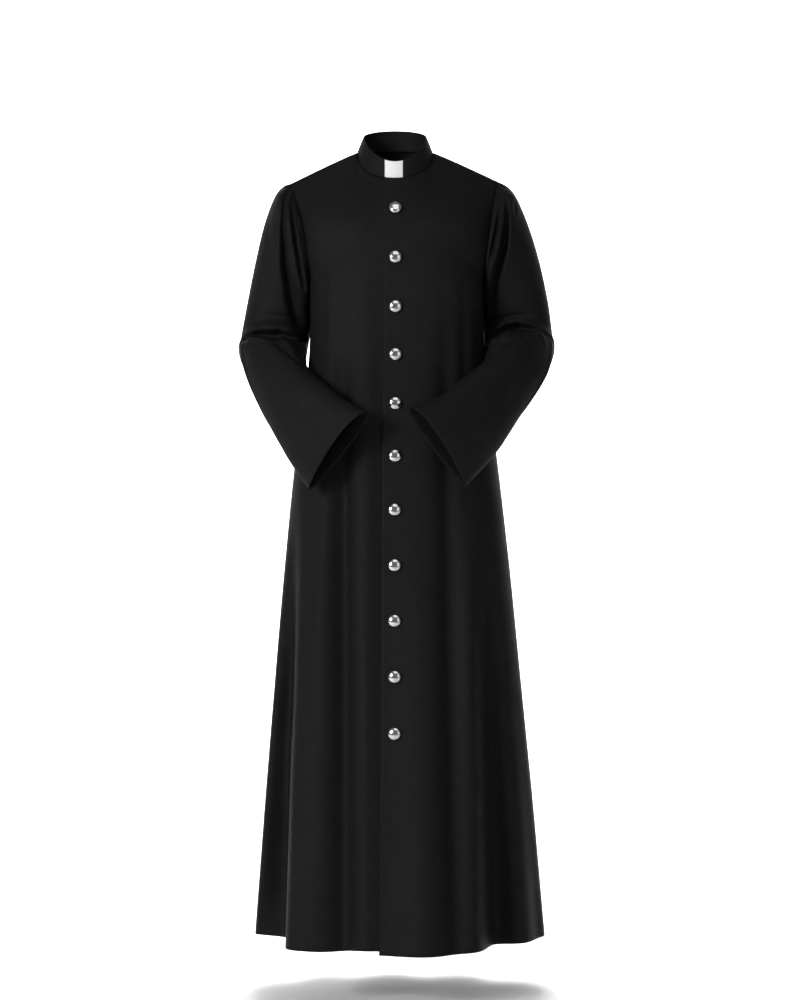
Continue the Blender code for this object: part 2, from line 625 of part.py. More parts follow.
def build():
    """Make every piece of the cassock."""
    for thing in list(bpy.data.objects):
        bpy.data.objects.remove(thing, do_unlink=True)
    cloth = make_material("cassock_cloth", (0.012, 0.012, 0.013), 0.75, 0.0)
    white = make_material("tab_white", (0.85, 0.85, 0.86), 0.5, 0.0)
    metal = make_material("button_metal", (0.80, 0.80, 0.79), 0.12, 1.0)

    # panels on one shared form
    left, left_angle = half_panel(1, LAP_EDGE_X, LAP_HEM_X, FRONT_COLUMNS, True)
    right, right_angle = half_panel(-1, UNDERLAP_EDGE_X, UNDERLAP_EDGE_X, FRONT_COLUMNS, True)
    back_left, bl_angle = half_panel(1, 0.0, 0.0, BACK_COLUMNS // 2, False)
    back_right, br_angle = half_panel(-1, 0.0, 0.0, BACK_COLUMNS // 2, False)
    back = np.concatenate([back_right[::-1], back_left[1:]])
    back_angle = np.concatenate([br_angle[::-1], bl_angle[1:]])
    back_side = np.where(np.arange(len(back)) < BACK_COLUMNS // 2, -1.0, 1.0)[:, None]
    left = fold_panel(left, left_angle, 1.0, True, 1.0)
    right = fold_panel(right, right_angle, -1.0, True, -1.0, under=True)
    back = fold_panel(back, back_angle, back_side, False, -1.0)

    # the two layers share each side seam and each shoulder seam
    neck = int(round(NECK_SHARE * FRONT_COLUMNS))
    pit = LOWER_ROWS
    for front, edge in ((left, back[-1]), (right, back[0])):
        shared = (front[-1] + edge) / 2.0
        front[-1, :pit + 1] = shared[:pit + 1]
        edge[:pit + 1] = shared[:pit + 1]
    back_half = BACK_COLUMNS // 2
    for i in range(neck, FRONT_COLUMNS + 1):
        for front, k in ((left, back_half + i), (right, back_half - i)):
            shared = (front[i, -1] + back[k, -1]) / 2.0
            front[i, -1] = shared
            back[k, -1] = shared

    left_n = grid_normals(left, False, 1.0)
    right_n = grid_normals(right, False, -1.0)
    back_n = grid_normals(back, False, -1.0)
    for i in range(neck, FRONT_COLUMNS + 1):
        for front_n, k in ((left_n, back_half + i), (right_n, back_half - i)):
            shared = unit(front_n[i, -1] + back_n[k, -1])
            front_n[i, -1] = shared
            back_n[k, -1] = shared
    for front_n, k in ((left_n, -1), (right_n, 0)):
        shared = unit(front_n[-1, :pit + 1] + back_n[k, :pit + 1])
        front_n[-1, :pit + 1] = shared
        back_n[k, :pit + 1] = shared

    # sleeves start on the armhole edges of the panels
    sleeves = {}
    for name, rings, side, front, front_n, k in (
            ("sleeve_left", LEFT_SLEEVE, 1, left, left_n, -1),
            ("sleeve_right", RIGHT_SLEEVE, -1, right, right_n, 0)):
        down_front = front[-1, pit:][::-1]
        up_back = back[k, pit:]
        loop = np.concatenate([down_front, up_back[1:-1]])
        loop_n = np.concatenate([front_n[-1, pit:][::-1], back_n[k, pit:][1:-1]])
        middle = (loop + np.roll(loop, -1, axis=0)) / 2.0
        middle_n = unit(loop_n + np.roll(loop_n, -1, axis=0))
        armhole = np.empty((SLEEVE_COLUMNS, 3))
        armhole[0::2], armhole[1::2] = loop, middle
        body_n = np.empty((SLEEVE_COLUMNS, 3))
        body_n[0::2], body_n[1::2] = loop_n, middle_n
        grid, places = sleeve_grid(rings, armhole, side)
        sign = float(side)
        normals = grid_normals(grid, True, sign)
        offset = crease_offset(grid, places, SLEEVE_CREASES)
        grid = grid + normals * offset[..., None]
        normals = grid_normals(grid, True, sign)
        seam_n = unit(body_n + normals[:, 0])
        seam_along = np.roll(armhole, -1, axis=0) - np.roll(armhole, 1, axis=0)
        step = across_seam(seam_n, seam_along, grid[:, 1] - grid[:, 0])
        grid[:, 0] += step * ARMHOLE_SEAM
        normals[:, 0] = seam_n
        count = UPPER_ROWS
        front_n[-1, pit:] = seam_n[0:2 * count + 1:2][::-1]
        back_n[k, pit:-1] = seam_n[2 * count::2]
        back_n[k, -1] = seam_n[0]
        sleeves[name] = (grid, normals, sign)

    # draw the panels back from the shared seams by half the space each
    half = SEAM / 2.0
    for front, normals, side_of_back in ((left, left_n, -1), (right, right_n, 0)):
        along = np.gradient(front[-1], axis=0)
        step = across_seam(normals[-1], along, front[-2] - front[-1])
        front[-1, :pit + 1] += step[:pit + 1] * half
        inward = 1 if side_of_back == 0 else -2
        step = across_seam(normals[-1], along, back[inward] - back[side_of_back])
        back[side_of_back, :pit + 1] += step[:pit + 1] * half
        top = front[neck:, -1]
        seam = np.gradient(top, axis=0)
        step = across_seam(normals[neck:, -1], seam, front[neck:, -2] - top)
        mate = range(back_half + neck, BACK_COLUMNS + 1) if front is left \
            else range(back_half - neck, -1, -1)
        for i, k in enumerate(mate):
            back[k, -1] -= step[i] * half
        front[neck:, -1] += step * half

    make_wall("front_left", left, left - left_n * WALL, False, 1.0, cloth)
    make_wall("front_right", right, right - right_n * WALL, False, -1.0, cloth)
    make_wall("back", back, back - back_n * WALL, False, -1.0, cloth)
    for name, (grid, normals, sign) in sleeves.items():
        make_wall(name, grid, grid - normals * WALL, True, sign, cloth)

    # buttons stand on the upper front along the centre line
    for number, (x, z) in enumerate(BUTTONS, start=1):
        place, normal = surface_at(left, left_n, x, z)
        turned_solid(f"button_{number:02d}", place, normal, BUTTON_PROFILE,
                     BUTTON_SEGMENTS, metal)
    collar_and_tab(cloth, white)


def surface_at(grid, normals, x, z):
    """Point and normal of a panel nearest a place seen from the front."""
    away = (grid[..., 0] - x) ** 2 * 4.0 + (grid[..., 2] - z) ** 2
    i, j = np.unravel_index(np.argmin(away[:4]), away[:4].shape)
    best = None
    for a in (i - 1, i):
        for b in (j - 1, j):
            if a < 0 or b < 0 or a + 1 >= grid.shape[0] or b + 1 >= grid.shape[1]:
                continue
            corners = grid[a:a + 2, b:b + 2]
            u = v = 0.5
            for _ in range(12):
                here = ((corners[0, 0] * (1 - u) + corners[1, 0] * u) * (1 - v)
                        + (corners[0, 1] * (1 - u) + corners[1, 1] * u) * v)
                du = (corners[1, 0] - corners[0, 0]) * (1 - v) + (corners[1, 1] - corners[0, 1]) * v
                dv = (corners[0, 1] - corners[0, 0]) * (1 - u) + (corners[1, 1] - corners[1, 0]) * u
                matrix = np.array([[du[0], dv[0]], [du[2], dv[2]]])
                step = np.linalg.solve(matrix, np.array([x - here[0], z - here[2]]))
                u, v = u + step[0], v + step[1]
            miss = max(-u, u - 1, -v, v - 1, 0.0)
            if best is None or miss < best[0]:
                best = (miss, here, unit(np.cross(du, dv)))
    return best[1], best[2]


def collar_top(angle):
    """Points of the collar's top edge at angles from the centre front."""
    cosine = np.cos(angle)
    fore, rear = np.maximum(cosine, 0.0), np.maximum(-cosine, 0.0)
    x = COLLAR_TOP_HALF * np.sin(angle)
    y = COLLAR_TOP_FRONT[0] * fore + COLLAR_TOP_BACK[0] * rear
    z = (COLLAR_TOP_SIDE_Z + (COLLAR_TOP_FRONT[1] - COLLAR_TOP_SIDE_Z) * fore ** 1.2
         + (COLLAR_TOP_BACK[1] - COLLAR_TOP_SIDE_Z) * rear)
    return np.stack([x, y, z], axis=-1)


def neck_angles(line, front):
    """Angles from the centre front of points on the neckline."""
    angle = np.arcsin(np.clip(line[:, 0] / NECK_HALF, -1.0, 1.0))
    return angle if front else math.pi - angle


def beyond(line, x):
    """The part of a neckline from x outwards, away from its centre edge."""
    side = math.copysign(1.0, line[-1, 0])
    first = int(np.argmax(line[:, 0] * side > x * side + 0.001))
    share = (x - line[first - 1, 0]) / (line[first, 0] - line[first - 1, 0])
    start = line[first - 1] + (line[first] - line[first - 1]) * share
    return np.concatenate([start[None], line[first:]])


def with_middles(line):
    """The line with a point added half way along each step."""
    fuller = np.repeat(line, 2, axis=0)[:-1]
    fuller[1::2] = (line[:-1] + line[1:]) / 2.0
    return fuller


def collar_and_tab(cloth, white):
    """The stand collar, open at the front, and the strip that fills the gap."""
    neck = int(round(NECK_SHARE * FRONT_COLUMNS))
    shares = np.linspace(0.0, 1.0, FRONT_COLUMNS + 1)[:neck + 1]
    left = beyond(top_line(1, LAP_EDGE_X, shares, True), COLLAR_GAP_X[1])
    right = beyond(top_line(-1, UNDERLAP_EDGE_X, shares, True), COLLAR_GAP_X[0])
    back_left = top_line(1, 0.0, shares, False)
    back_right = top_line(-1, 0.0, shares, False)
    foot = np.concatenate([left, back_left[::-1][1:], back_right[1:], right[::-1][1:]])
    angle = np.concatenate([neck_angles(left, True),
                            neck_angles(back_left[::-1][1:], False),
                            neck_angles(back_right[1:], False),
                            neck_angles(right[::-1][1:], True) + 2.0 * math.pi])
    foot, angle = with_middles(foot), with_middles(angle)
    ends = foot[[0, -1], 0]
    low, high = np.arcsin(ends / COLLAR_TOP_HALF)
    part = (angle - angle[0]) / (angle[-1] - angle[0])
    top = collar_top(low + (high + 2.0 * math.pi - low) * part)
    rise = unit(top - foot)
    foot = foot + rise * COLLAR_SEAM
    steps = np.linspace(0.0, 1.0, COLLAR_ROWS + 1)[None, :, None]
    grid = foot[:, None] + (top - foot)[:, None] * steps
    normals = grid_normals(grid, False, 1.0)
    make_wall("collar", grid, grid - normals * COLLAR_WALL, False, 1.0, cloth)

    reach = np.linspace(ends[1] - TAB_MARGIN, ends[0] + TAB_MARGIN, 9)
    cosine = np.sqrt(1.0 - (reach / NECK_HALF) ** 2)
    low_edge = np.stack([reach, NECK_FRONT_Y * cosine, NECK_FRONT_Z * cosine ** NECK_DIP], -1)
    high_edge = collar_top(np.arcsin(reach / COLLAR_TOP_HALF))
    rise = unit(high_edge - low_edge)
    low_edge = low_edge + rise * TAB_FOOT_GAP
    high_edge = high_edge - rise * TAB_TOP_GAP
    grid = low_edge[:, None] + (high_edge - low_edge)[:, None] * steps
    normals = grid_normals(grid, False, 1.0)
    outer = grid - normals * (COLLAR_WALL + TAB_BEHIND)
    make_wall("collar_tab", outer, outer - normals * TAB_WALL, False, 1.0, white)


build()
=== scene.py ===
"""A worn full-length cassock, dressed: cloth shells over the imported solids.

Metres, +Z up, +X to the wearer's left, the front of the garment towards -Y.
The origin is the middle of the neck at the height of the neck points.
"""

from __future__ import annotations

import logging
import math
from dataclasses import dataclass
from enum import Enum

import bpy
import numpy as np
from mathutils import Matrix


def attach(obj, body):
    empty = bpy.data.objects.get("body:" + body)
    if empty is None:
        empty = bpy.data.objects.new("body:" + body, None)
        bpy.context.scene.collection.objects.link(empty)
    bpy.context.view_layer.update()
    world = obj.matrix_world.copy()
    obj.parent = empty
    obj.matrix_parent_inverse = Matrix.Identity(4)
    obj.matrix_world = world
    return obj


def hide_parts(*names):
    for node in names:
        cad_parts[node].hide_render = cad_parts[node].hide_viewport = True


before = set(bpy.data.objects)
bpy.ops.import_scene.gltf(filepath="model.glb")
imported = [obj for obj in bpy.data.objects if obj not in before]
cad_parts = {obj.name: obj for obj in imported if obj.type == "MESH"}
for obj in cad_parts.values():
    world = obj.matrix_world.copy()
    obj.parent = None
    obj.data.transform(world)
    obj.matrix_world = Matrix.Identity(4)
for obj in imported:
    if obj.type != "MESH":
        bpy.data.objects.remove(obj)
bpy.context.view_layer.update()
LOG = logging.getLogger("cassock")
QUARTER = 0.5 * math.pi
FULL = 2.0 * math.pi
FLOOR_Z = -1.617         # where the wearer stands
TURN_EDGE = 0.002        # over which a turned hem or cuff thins out


class Side(Enum):
    """The wearer's left or right, as the sign of X."""

    LEFT = 1
    RIGHT = -1


class Face(Enum):
    """The front or back of the garment, as the sign of the way forward."""

    FRONT = 1
    BACK = -1


# ------------------------------------------------------------------ shader maths
class Value:
    """A shader socket that takes part in Python sums."""

    def __init__(self, graph: Graph, socket: bpy.types.NodeSocket) -> None:
        """Keep the graph and the socket."""
        self.graph = graph
        self.socket = socket

    def __add__(self, other: Value | float) -> Value:
        """Sum."""
        return self.graph.math("ADD", self, other)

    def __radd__(self, other: float) -> Value:
        """Sum, number first."""
        return self.graph.math("ADD", other, self)

    def __sub__(self, other: Value | float) -> Value:
        """Difference."""
        return self.graph.math("SUBTRACT", self, other)

    def __rsub__(self, other: float) -> Value:
        """Difference, number first."""
        return self.graph.math("SUBTRACT", other, self)

    def __mul__(self, other: Value | float) -> Value:
        """Product."""
        return self.graph.math("MULTIPLY", self, other)

    def __rmul__(self, other: float) -> Value:
        """Product, number first."""
        return self.graph.math("MULTIPLY", other, self)


class Graph:
    """The node graph of one material."""

    def __init__(self, name: str) -> None:
        """Start an empty material with its shader and output.

        Args:
            name: the material's name.
        """
        self.material = bpy.data.materials.new(name)
        self.material.use_nodes = True
        self.tree = self.material.node_tree
        self.tree.nodes.clear()
        self.shader = self.tree.nodes.new("ShaderNodeBsdfPrincipled")
        output = self.tree.nodes.new("ShaderNodeOutputMaterial")
        self.tree.links.new(self.shader.outputs[0], output.inputs[0])

    def node(self, kind: str, settings: dict | None = None,
             inputs: dict | None = None, output: int | str = 0) -> Value:
        """Add any node.

        Args:
            kind: the node's type.
            settings: attributes, set first; "stops" are a ramp's (place, colour).
            inputs: values or links by socket name or number.
            output: the output socket that is returned.

        Returns:
            The output as a value.
        """
        new = self.tree.nodes.new(kind)
        for key, setting in (settings or {}).items():
            if key == "stops":
                ramp = new.color_ramp
                for i, (place, colour) in enumerate(setting):
                    stop = ramp.elements[i] if i < 2 else ramp.elements.new(place)
                    stop.position = place
                    stop.color = colour
            else:
                setattr(new, key, setting)
        for key, value in (inputs or {}).items():
            self.feed(new.inputs[key], value)
        return Value(self, new.outputs[output])

    def feed(self, socket: bpy.types.NodeSocket, value: object) -> None:
        """Link a value to a socket, or set the socket."""
        if isinstance(value, Value):
            self.tree.links.new(value.socket, socket)
        else:
            socket.default_value = value

    def math(self, operation: str, first: object, second: object = 0.0) -> Value:
        """One Math node on numbers."""
        return self.node("ShaderNodeMath", {"operation": operation}, {0: first, 1: second})

    def between(self, value: Value, low: float, high: float) -> Value:
        """0 below low, 1 above high, eased between."""
        return self.node("ShaderNodeMapRange", {"interpolation_type": "SMOOTHSTEP"},
                         {"Value": value, "From Min": low, "From Max": high})

    def noise(self, where: Value, scale: float, detail: float = 2.0) -> Value:
        """Noise of a given scale over a vector."""
        return self.node("ShaderNodeTexNoise", None,
                         {"Vector": where, "Scale": scale, "Detail": detail})

    def mix(self, factor: object, first: object, second: object) -> Value:
        """Mix of two colours."""
        node = self.tree.nodes.new("ShaderNodeMix")
        node.data_type = "RGBA"
        self.feed(node.inputs[0], factor)
        self.feed(node.inputs[6], first)
        self.feed(node.inputs[7], second)
        return Value(self, node.outputs[2])

    def coat(self, factor: object, first: tuple[float, float, float],
             second: tuple[float, float, float], roughness: object) -> None:
        """Feed the shader's colour, a mix of two, and its roughness."""
        self.feed(self.shader.inputs["Base Color"],
                  self.mix(factor, (*first, 1.0), (*second, 1.0)))
        self.feed(self.shader.inputs["Roughness"], roughness)

    def cloth_place(self) -> tuple[Value, Value, Value]:
        """Where a point is on its piece of cloth.

        Returns:
            The vector, and its across and along parts, in metres.
        """
        vector = self.node("ShaderNodeUVMap", {"uv_map": "cloth"})
        across = self.node("ShaderNodeSeparateXYZ", None, {0: vector}, 0)
        along = self.node("ShaderNodeSeparateXYZ", None, {0: vector}, 1)
        return vector, across, along

    def body_place(self) -> Value:
        """Where a point is on the whole garment, in metres."""
        return self.node("ShaderNodeTexCoord", None, None, "Object")

    def bump(self, height: Value, distance: float) -> None:
        """Feed the shader's normal from a height of 0 to 1 over a distance."""
        normal = self.node("ShaderNodeBump", None,
                           {"Height": height, "Distance": distance, "Strength": 1.0})
        self.feed(self.shader.inputs["Normal"], normal)


@dataclass(frozen=True)
class ClothFinish:
    """Smooth black suiting with a soft low sheen."""

    colour: tuple[float, float, float] = (0.0080, 0.0080, 0.0082)
    # lighter colour for random rubbed patches (wear) and for painted light on the yarn crowns
    worn_and_lit_colour: tuple[float, float, float] = (0.0100, 0.0100, 0.0103)
    roughness: float = 0.60
    yarn: float = 0.0011
    weave_height: float = 0.00010
    slub_height: float = 0.00035
    shine: float = 0.06

    def material(self, name: str) -> bpy.types.Material:
        """Build the cloth.

        Args:
            name: the material's name.

        Returns:
            The material.
        """
        graph = Graph(name)
        vector, across, along = graph.cloth_place()
        turn = FULL / self.yarn
        warp = graph.math("SINE", across * turn)
        weft = graph.math("SINE", along * turn)
        weave = warp * weft * 0.5 + 0.5
        place = graph.body_place()
        slub = graph.noise(vector, 420.0, 1.0)
        cloud = graph.noise(place, 7.0, 3.0)
        rub = graph.between(graph.noise(place, 38.0, 4.0), 0.35, 0.80)
        # Lighter in random rubbed patches, which is wear, and on the raised crowns of the weave,
        # which is painted light with painted shade between the yarns.
        graph.coat(rub * 0.55 + weave * 0.15, self.colour, self.worn_and_lit_colour,
                   self.roughness - 0.10 + cloud * 0.20)
        height = weave * (self.weave_height / self.slub_height) + slub
        graph.bump(height, self.slub_height)
        graph.shader.inputs["Specular IOR Level"].default_value = self.shine
        return graph.material


@dataclass(frozen=True)
class TabFinish:
    """Stiff white strip, ribbed finely along its length, with painted shade in the rib grooves."""

    colour: tuple[float, float, float] = (0.86, 0.86, 0.87)
    # painted shade: the darker colour at the bottom of each rib groove
    groove_shade_colour: tuple[float, float, float] = (0.66, 0.66, 0.68)
    rib: float = 0.0016
    rib_height: float = 0.00022
    roughness: float = 0.48

    def material(self, name: str) -> bpy.types.Material:
        """Build the strip's finish.

        Args:
            name: the material's name.

        Returns:
            The material.
        """
        graph = Graph(name)
        vector, _, along = graph.cloth_place()
        rib = graph.math("SINE", along * (FULL / self.rib)) * 0.5 + 0.5
        grain = graph.noise(vector, 900.0, 2.0)
        # Darker wherever the bump is low, in the rib grooves and the grain's low spots: painted
        # shade.
        graph.coat(rib * 0.75 + grain * 0.25, self.groove_shade_colour, self.colour,
                   self.roughness + grain * 0.12)
        graph.bump(rib + grain * 0.3, self.rib_height)
        return graph.material


@dataclass(frozen=True)
class MetalFinish:
    """Polished silver-coloured metal, faintly rubbed."""

    colour: tuple[float, float, float] = (0.74, 0.74, 0.73)
    dull_colour: tuple[float, float, float] = (0.58, 0.58, 0.57)
    roughness: float = 0.10
    scratch_depth: float = 0.00001

    def material(self, name: str) -> bpy.types.Material:
        """Build the metal.

        Args:
            name: the material's name.

        Returns:
            The material.
        """
        graph = Graph(name)
        place = graph.body_place()
        smudge = graph.between(graph.noise(place, 160.0, 4.0), 0.40, 0.75)
        scratch = graph.noise(place, 1400.0, 2.0)
        graph.coat(smudge * 0.5, self.colour, self.dull_colour,
                   self.roughness + smudge * 0.08 + scratch * 0.03)
        graph.shader.inputs["Metallic"].default_value = 1.0
        graph.bump(scratch, self.scratch_depth)
        return graph.material


# ------------------------------------------------------------------ form maths
def unit(vectors: np.ndarray) -> np.ndarray:
    """Vectors of length one."""
    length = np.linalg.norm(vectors, axis=-1, keepdims=True)
    return vectors / np.maximum(length, 1e-12)


def ease(value: np.ndarray | float) -> np.ndarray:
    """0 below zero, 1 above one, eased between."""
    value = np.clip(value, 0.0, 1.0)
    return value * value * (3.0 - 2.0 * value)


def bell(away: np.ndarray, width: np.ndarray | float) -> np.ndarray:
    """1 at no distance, running out smoothly over a width."""
    return np.exp(-(away / width) ** 2)


def part_way(value: np.ndarray | float, start: float, end: float) -> np.ndarray:
    """How far a value is from start, 0, to end, 1, held at both."""
    return np.clip((value - start) / (end - start), 0.0, 1.0)


def circle(count: int) -> np.ndarray:
    """Angles all the way round, the last one short of the first."""
    return np.linspace(0.0, FULL, count, endpoint=False)


class Spline:
    """A smooth curve through values at rising knots."""

    def __init__(self, knots: np.ndarray, values: np.ndarray) -> None:
        """Work out the slopes.

        Args:
            knots: rising numbers, one for each value.
            values: one row for each knot.
        """
        self.knots = knots
        self.values = values
        steps = np.diff(knots)
        shape = (-1,) + (1,) * (values.ndim - 1)
        chords = np.diff(values, axis=0) / steps.reshape(shape)
        before, after = steps[:-1].reshape(shape), steps[1:].reshape(shape)
        self.slopes = np.empty_like(values)
        self.slopes[1:-1] = (chords[:-1] * after + chords[1:] * before) / (before + after)
        self.slopes[0] = 1.5 * chords[0] - 0.5 * self.slopes[1]
        self.slopes[-1] = 1.5 * chords[-1] - 0.5 * self.slopes[-2]

    def at(self, where: np.ndarray) -> np.ndarray:
        """Values at each place in where."""
        last = len(self.knots) - 2
        spans = np.clip(np.searchsorted(self.knots, where, side="right") - 1, 0, last)
        shape = (-1,) + (1,) * (self.values.ndim - 1)
        step = (self.knots[spans + 1] - self.knots[spans]).reshape(shape)
        part = (where - self.knots[spans]).reshape(shape) / step
        square, cube = part ** 2, part ** 3
        return ((2 * cube - 3 * square + 1) * self.values[spans]
                + (cube - 2 * square + part) * self.slopes[spans] * step
                + (3 * square - 2 * cube) * self.values[spans + 1]
                + (cube - square) * self.slopes[spans + 1] * step)


def rounded(angle: np.ndarray, square: np.ndarray | float) -> tuple[np.ndarray, np.ndarray]:
    """Across and forward parts of a rounded section at an angle from the front."""
    across, forward = np.sin(angle), np.cos(angle)
    size = (np.abs(across) ** square + np.abs(forward) ** square) ** (1.0 / square)
    return across / size, forward / size


def rounded_angle(share: np.ndarray | float, square: np.ndarray | float) -> np.ndarray:
    """Angle from the front at which a section is that share of its half width."""
    share = np.clip(share, -0.995, 0.995)
    return np.arctan2(share, (1.0 - np.abs(share) ** square) ** (1.0 / square))


def grid_normals(points: np.ndarray, closed: bool, sign: float) -> np.ndarray:
    """Normals of a grid, columns first, each the mean of its faces'.

    Args:
        points: the grid, columns by rows by 3.
        closed: whether the last column joins the first.
        sign: 1 or -1, so that the normals point out.

    Returns:
        Normals of length one, as the grid is laid out.
    """
    wrapped = np.concatenate([points, points[:1]]) if closed else points
    one = wrapped[1:, 1:] - wrapped[:-1, :-1]
    other = wrapped[:-1, 1:] - wrapped[1:, :-1]
    faces = unit(np.cross(one, other)) * sign
    total = np.zeros_like(wrapped)
    for i in (0, 1):
        for j in (0, 1):
            total[i:len(wrapped) - 1 + i, j:wrapped.shape[1] - 1 + j] += faces
    if closed:
        total[0] += total[-1]
        total = total[:-1]
    return unit(total)


def run_lengths(points: np.ndarray, axis: int) -> np.ndarray:
    """Distance travelled along one axis of a grid, from its start."""
    steps = np.linalg.norm(np.diff(points, axis=axis), axis=-1)
    pad = [(1, 0), (0, 0)] if axis == 0 else [(0, 0), (1, 0)]
    return np.pad(np.cumsum(steps, axis=axis), pad)


def across_seam(normal: np.ndarray, along: np.ndarray, towards: np.ndarray) -> np.ndarray:
    """Unit step across a seam, in the cloth, on the side given by towards."""
    step = unit(np.cross(normal, along))
    return step * np.sign(np.sum(step * towards, axis=-1, keepdims=True))


def with_middles(loop: np.ndarray) -> np.ndarray:
    """A closed loop of values with the mean of each two neighbours between them."""
    both = np.stack([loop, (loop + np.roll(loop, -1, axis=0)) / 2.0], 1)
    return both.reshape(-1, loop.shape[-1])


# ------------------------------------------------------------------ tables
@dataclass(frozen=True)
class Section:
    """A level ring of the body below the armpits."""

    z: float
    right_half: float
    left_half: float
    front: float
    back: float
    square: float


@dataclass(frozen=True)
class Yoke:
    """A line across one side of the chest or back, centre to armhole."""

    centre_y: float
    centre_z: float
    right_x: float
    left_x: float
    edge_y: float
    edge_z: float
    square: float


@dataclass(frozen=True)
class Fold:
    """A soft fold that hangs down a panel. Depth is out, or in if negative."""

    top_x: float
    top_z: float
    full_z: float
    hem_x: float
    width_top: float
    width_hem: float
    depth_full: float
    depth_hem: float
    lean: float = 0.0


@dataclass(frozen=True)
class BodyCrease:
    """A furrow or ridge on a front or back, by where it starts and ends."""

    x_from: float
    z_from: float
    x_to: float
    z_to: float
    width: float
    depth: float


@dataclass(frozen=True)
class Ring:
    """A ring of a sleeve: its outer and inner points and its half depths.

    The inner half has its own squareness, for it lies flatter than the outer.
    """

    outer: tuple[float, float, float]
    inner: tuple[float, float, float]
    front: float
    rear: float
    pinch: float
    square: float


@dataclass(frozen=True)
class SleeveCrease:
    """A furrow or ridge on a sleeve.

    Spans count rings from the armhole; angles run from the outer edge, 0, by
    the front, 90, to the inner side, 180.
    """

    span_from: float
    angle_from: float
    span_to: float
    angle_to: float
    width: float
    depth: float


@dataclass(frozen=True)
class Furrow:
    """A deep fold on the front of a sleeve, as it is seen from the front.

    Each place is x, z, the width on the left of the way along it, the width on
    its right, and how far in it goes.
    """

    places: tuple[tuple[float, float, float, float, float], ...]


SECTIONS = (
    #       z       right   left    front   back    square
    Section(-1.510, 0.272, 0.290, 0.238, 0.218, 2.60),
    Section(-1.250, 0.251, 0.266, 0.213, 0.200, 2.50),
    Section(-1.020, 0.232, 0.243, 0.192, 0.184, 2.45),
    Section(-0.790, 0.212, 0.220, 0.171, 0.168, 2.40),
    Section(-0.600, 0.193, 0.198, 0.153, 0.148, 2.45),
    Section(-0.400, 0.166, 0.173, 0.145, 0.130, 2.65),
    Section(-0.262, 0.163, 0.170, 0.142, 0.124, 2.85),
)
YOKES = {
    Face.FRONT: (
        Yoke(-0.1390, -0.196, -0.166, 0.173, -0.062, -0.212, 2.3),
        Yoke(-0.1160, -0.122, -0.178, 0.184, -0.056, -0.136, 2.3),
    ),
    Face.BACK: (
        Yoke(0.1230, -0.180, -0.166, 0.173, 0.058, -0.206, 2.3),
        Yoke(0.1040, -0.088, -0.182, 0.188, 0.050, -0.128, 2.2),
    ),
}
FOLDS = {
    Face.FRONT: (
        #    top_x   top_z   full_z  hem_x   w_top  w_hem  depth   at hem  lean
        Fold(-0.186, -0.640, -1.150, -0.250, 0.022, 0.050, -0.022, -0.046, 1.5),
        Fold(-0.190, -0.750, -1.250, -0.268, 0.034, 0.060, -0.004, -0.009, 6.0),
        Fold(-0.172, -0.640, -1.050, -0.196, 0.016, 0.020, 0.006, 0.012),
        Fold(-0.132, -0.560, -0.900, -0.168, 0.018, 0.024, 0.006, 0.005),
        Fold(-0.120, -0.700, -1.200, -0.130, 0.050, 0.080, -0.006, -0.014),
        Fold(-0.102, -0.300, -0.640, -0.096, 0.016, 0.026, -0.014, -0.024),
        Fold(-0.116, -0.170, -0.330, -0.140, 0.013, 0.020, 0.004, 0.000),
        Fold(-0.048, -0.160, -0.340, -0.060, 0.016, 0.030, 0.003, 0.006),
        Fold(0.040, -0.620, -1.000, 0.064, 0.030, 0.052, 0.007, 0.026),
        Fold(0.096, -0.220, -0.600, 0.112, 0.015, 0.025, -0.012, -0.023),
        Fold(0.130, -0.200, -0.380, 0.150, 0.012, 0.020, -0.005, 0.000),
        Fold(0.136, -0.620, -0.950, 0.150, 0.018, 0.026, 0.008, 0.012),
        Fold(0.168, -0.700, -1.200, 0.214, 0.022, 0.048, -0.022, -0.040, 1.5),
        Fold(0.194, -0.750, -1.250, 0.278, 0.034, 0.070, -0.004, -0.009, 5.0),
    ),
    Face.BACK: (
        Fold(-0.150, -0.600, -1.100, -0.205, 0.020, 0.030, -0.014, -0.030),
        Fold(-0.104, -0.560, -1.000, -0.140, 0.020, 0.028, 0.007, 0.013),
        Fold(-0.066, -0.380, -0.900, -0.078, 0.016, 0.026, -0.010, -0.021),
        Fold(-0.018, -0.540, -1.000, -0.012, 0.024, 0.032, 0.006, 0.013),
        Fold(0.052, -0.420, -0.900, 0.060, 0.016, 0.026, -0.011, -0.023),
        Fold(0.098, -0.560, -1.000, 0.126, 0.020, 0.028, 0.008, 0.014),
        Fold(0.152, -0.620, -1.100, 0.200, 0.020, 0.030, -0.016, -0.032),
    ),
}
BODY_CREASES = {
    Face.FRONT: (
        #          x_from  z_from  x_to    z_to    width   depth
        BodyCrease(-0.050, -0.060, -0.026, -0.074, 0.0040, -0.0016),
        BodyCrease(-0.022, -0.072, 0.022, -0.067, 0.0040, -0.0012),
        BodyCrease(-0.102, -0.420, -0.101, -1.560, 0.0165, -0.0090),
        BodyCrease(0.118, -0.700, 0.128, -1.560, 0.0150, -0.0050),
    ),
    Face.BACK: (
        BodyCrease(-0.040, -0.030, 0.045, -0.028, 0.0060, -0.0014),
    ),
}
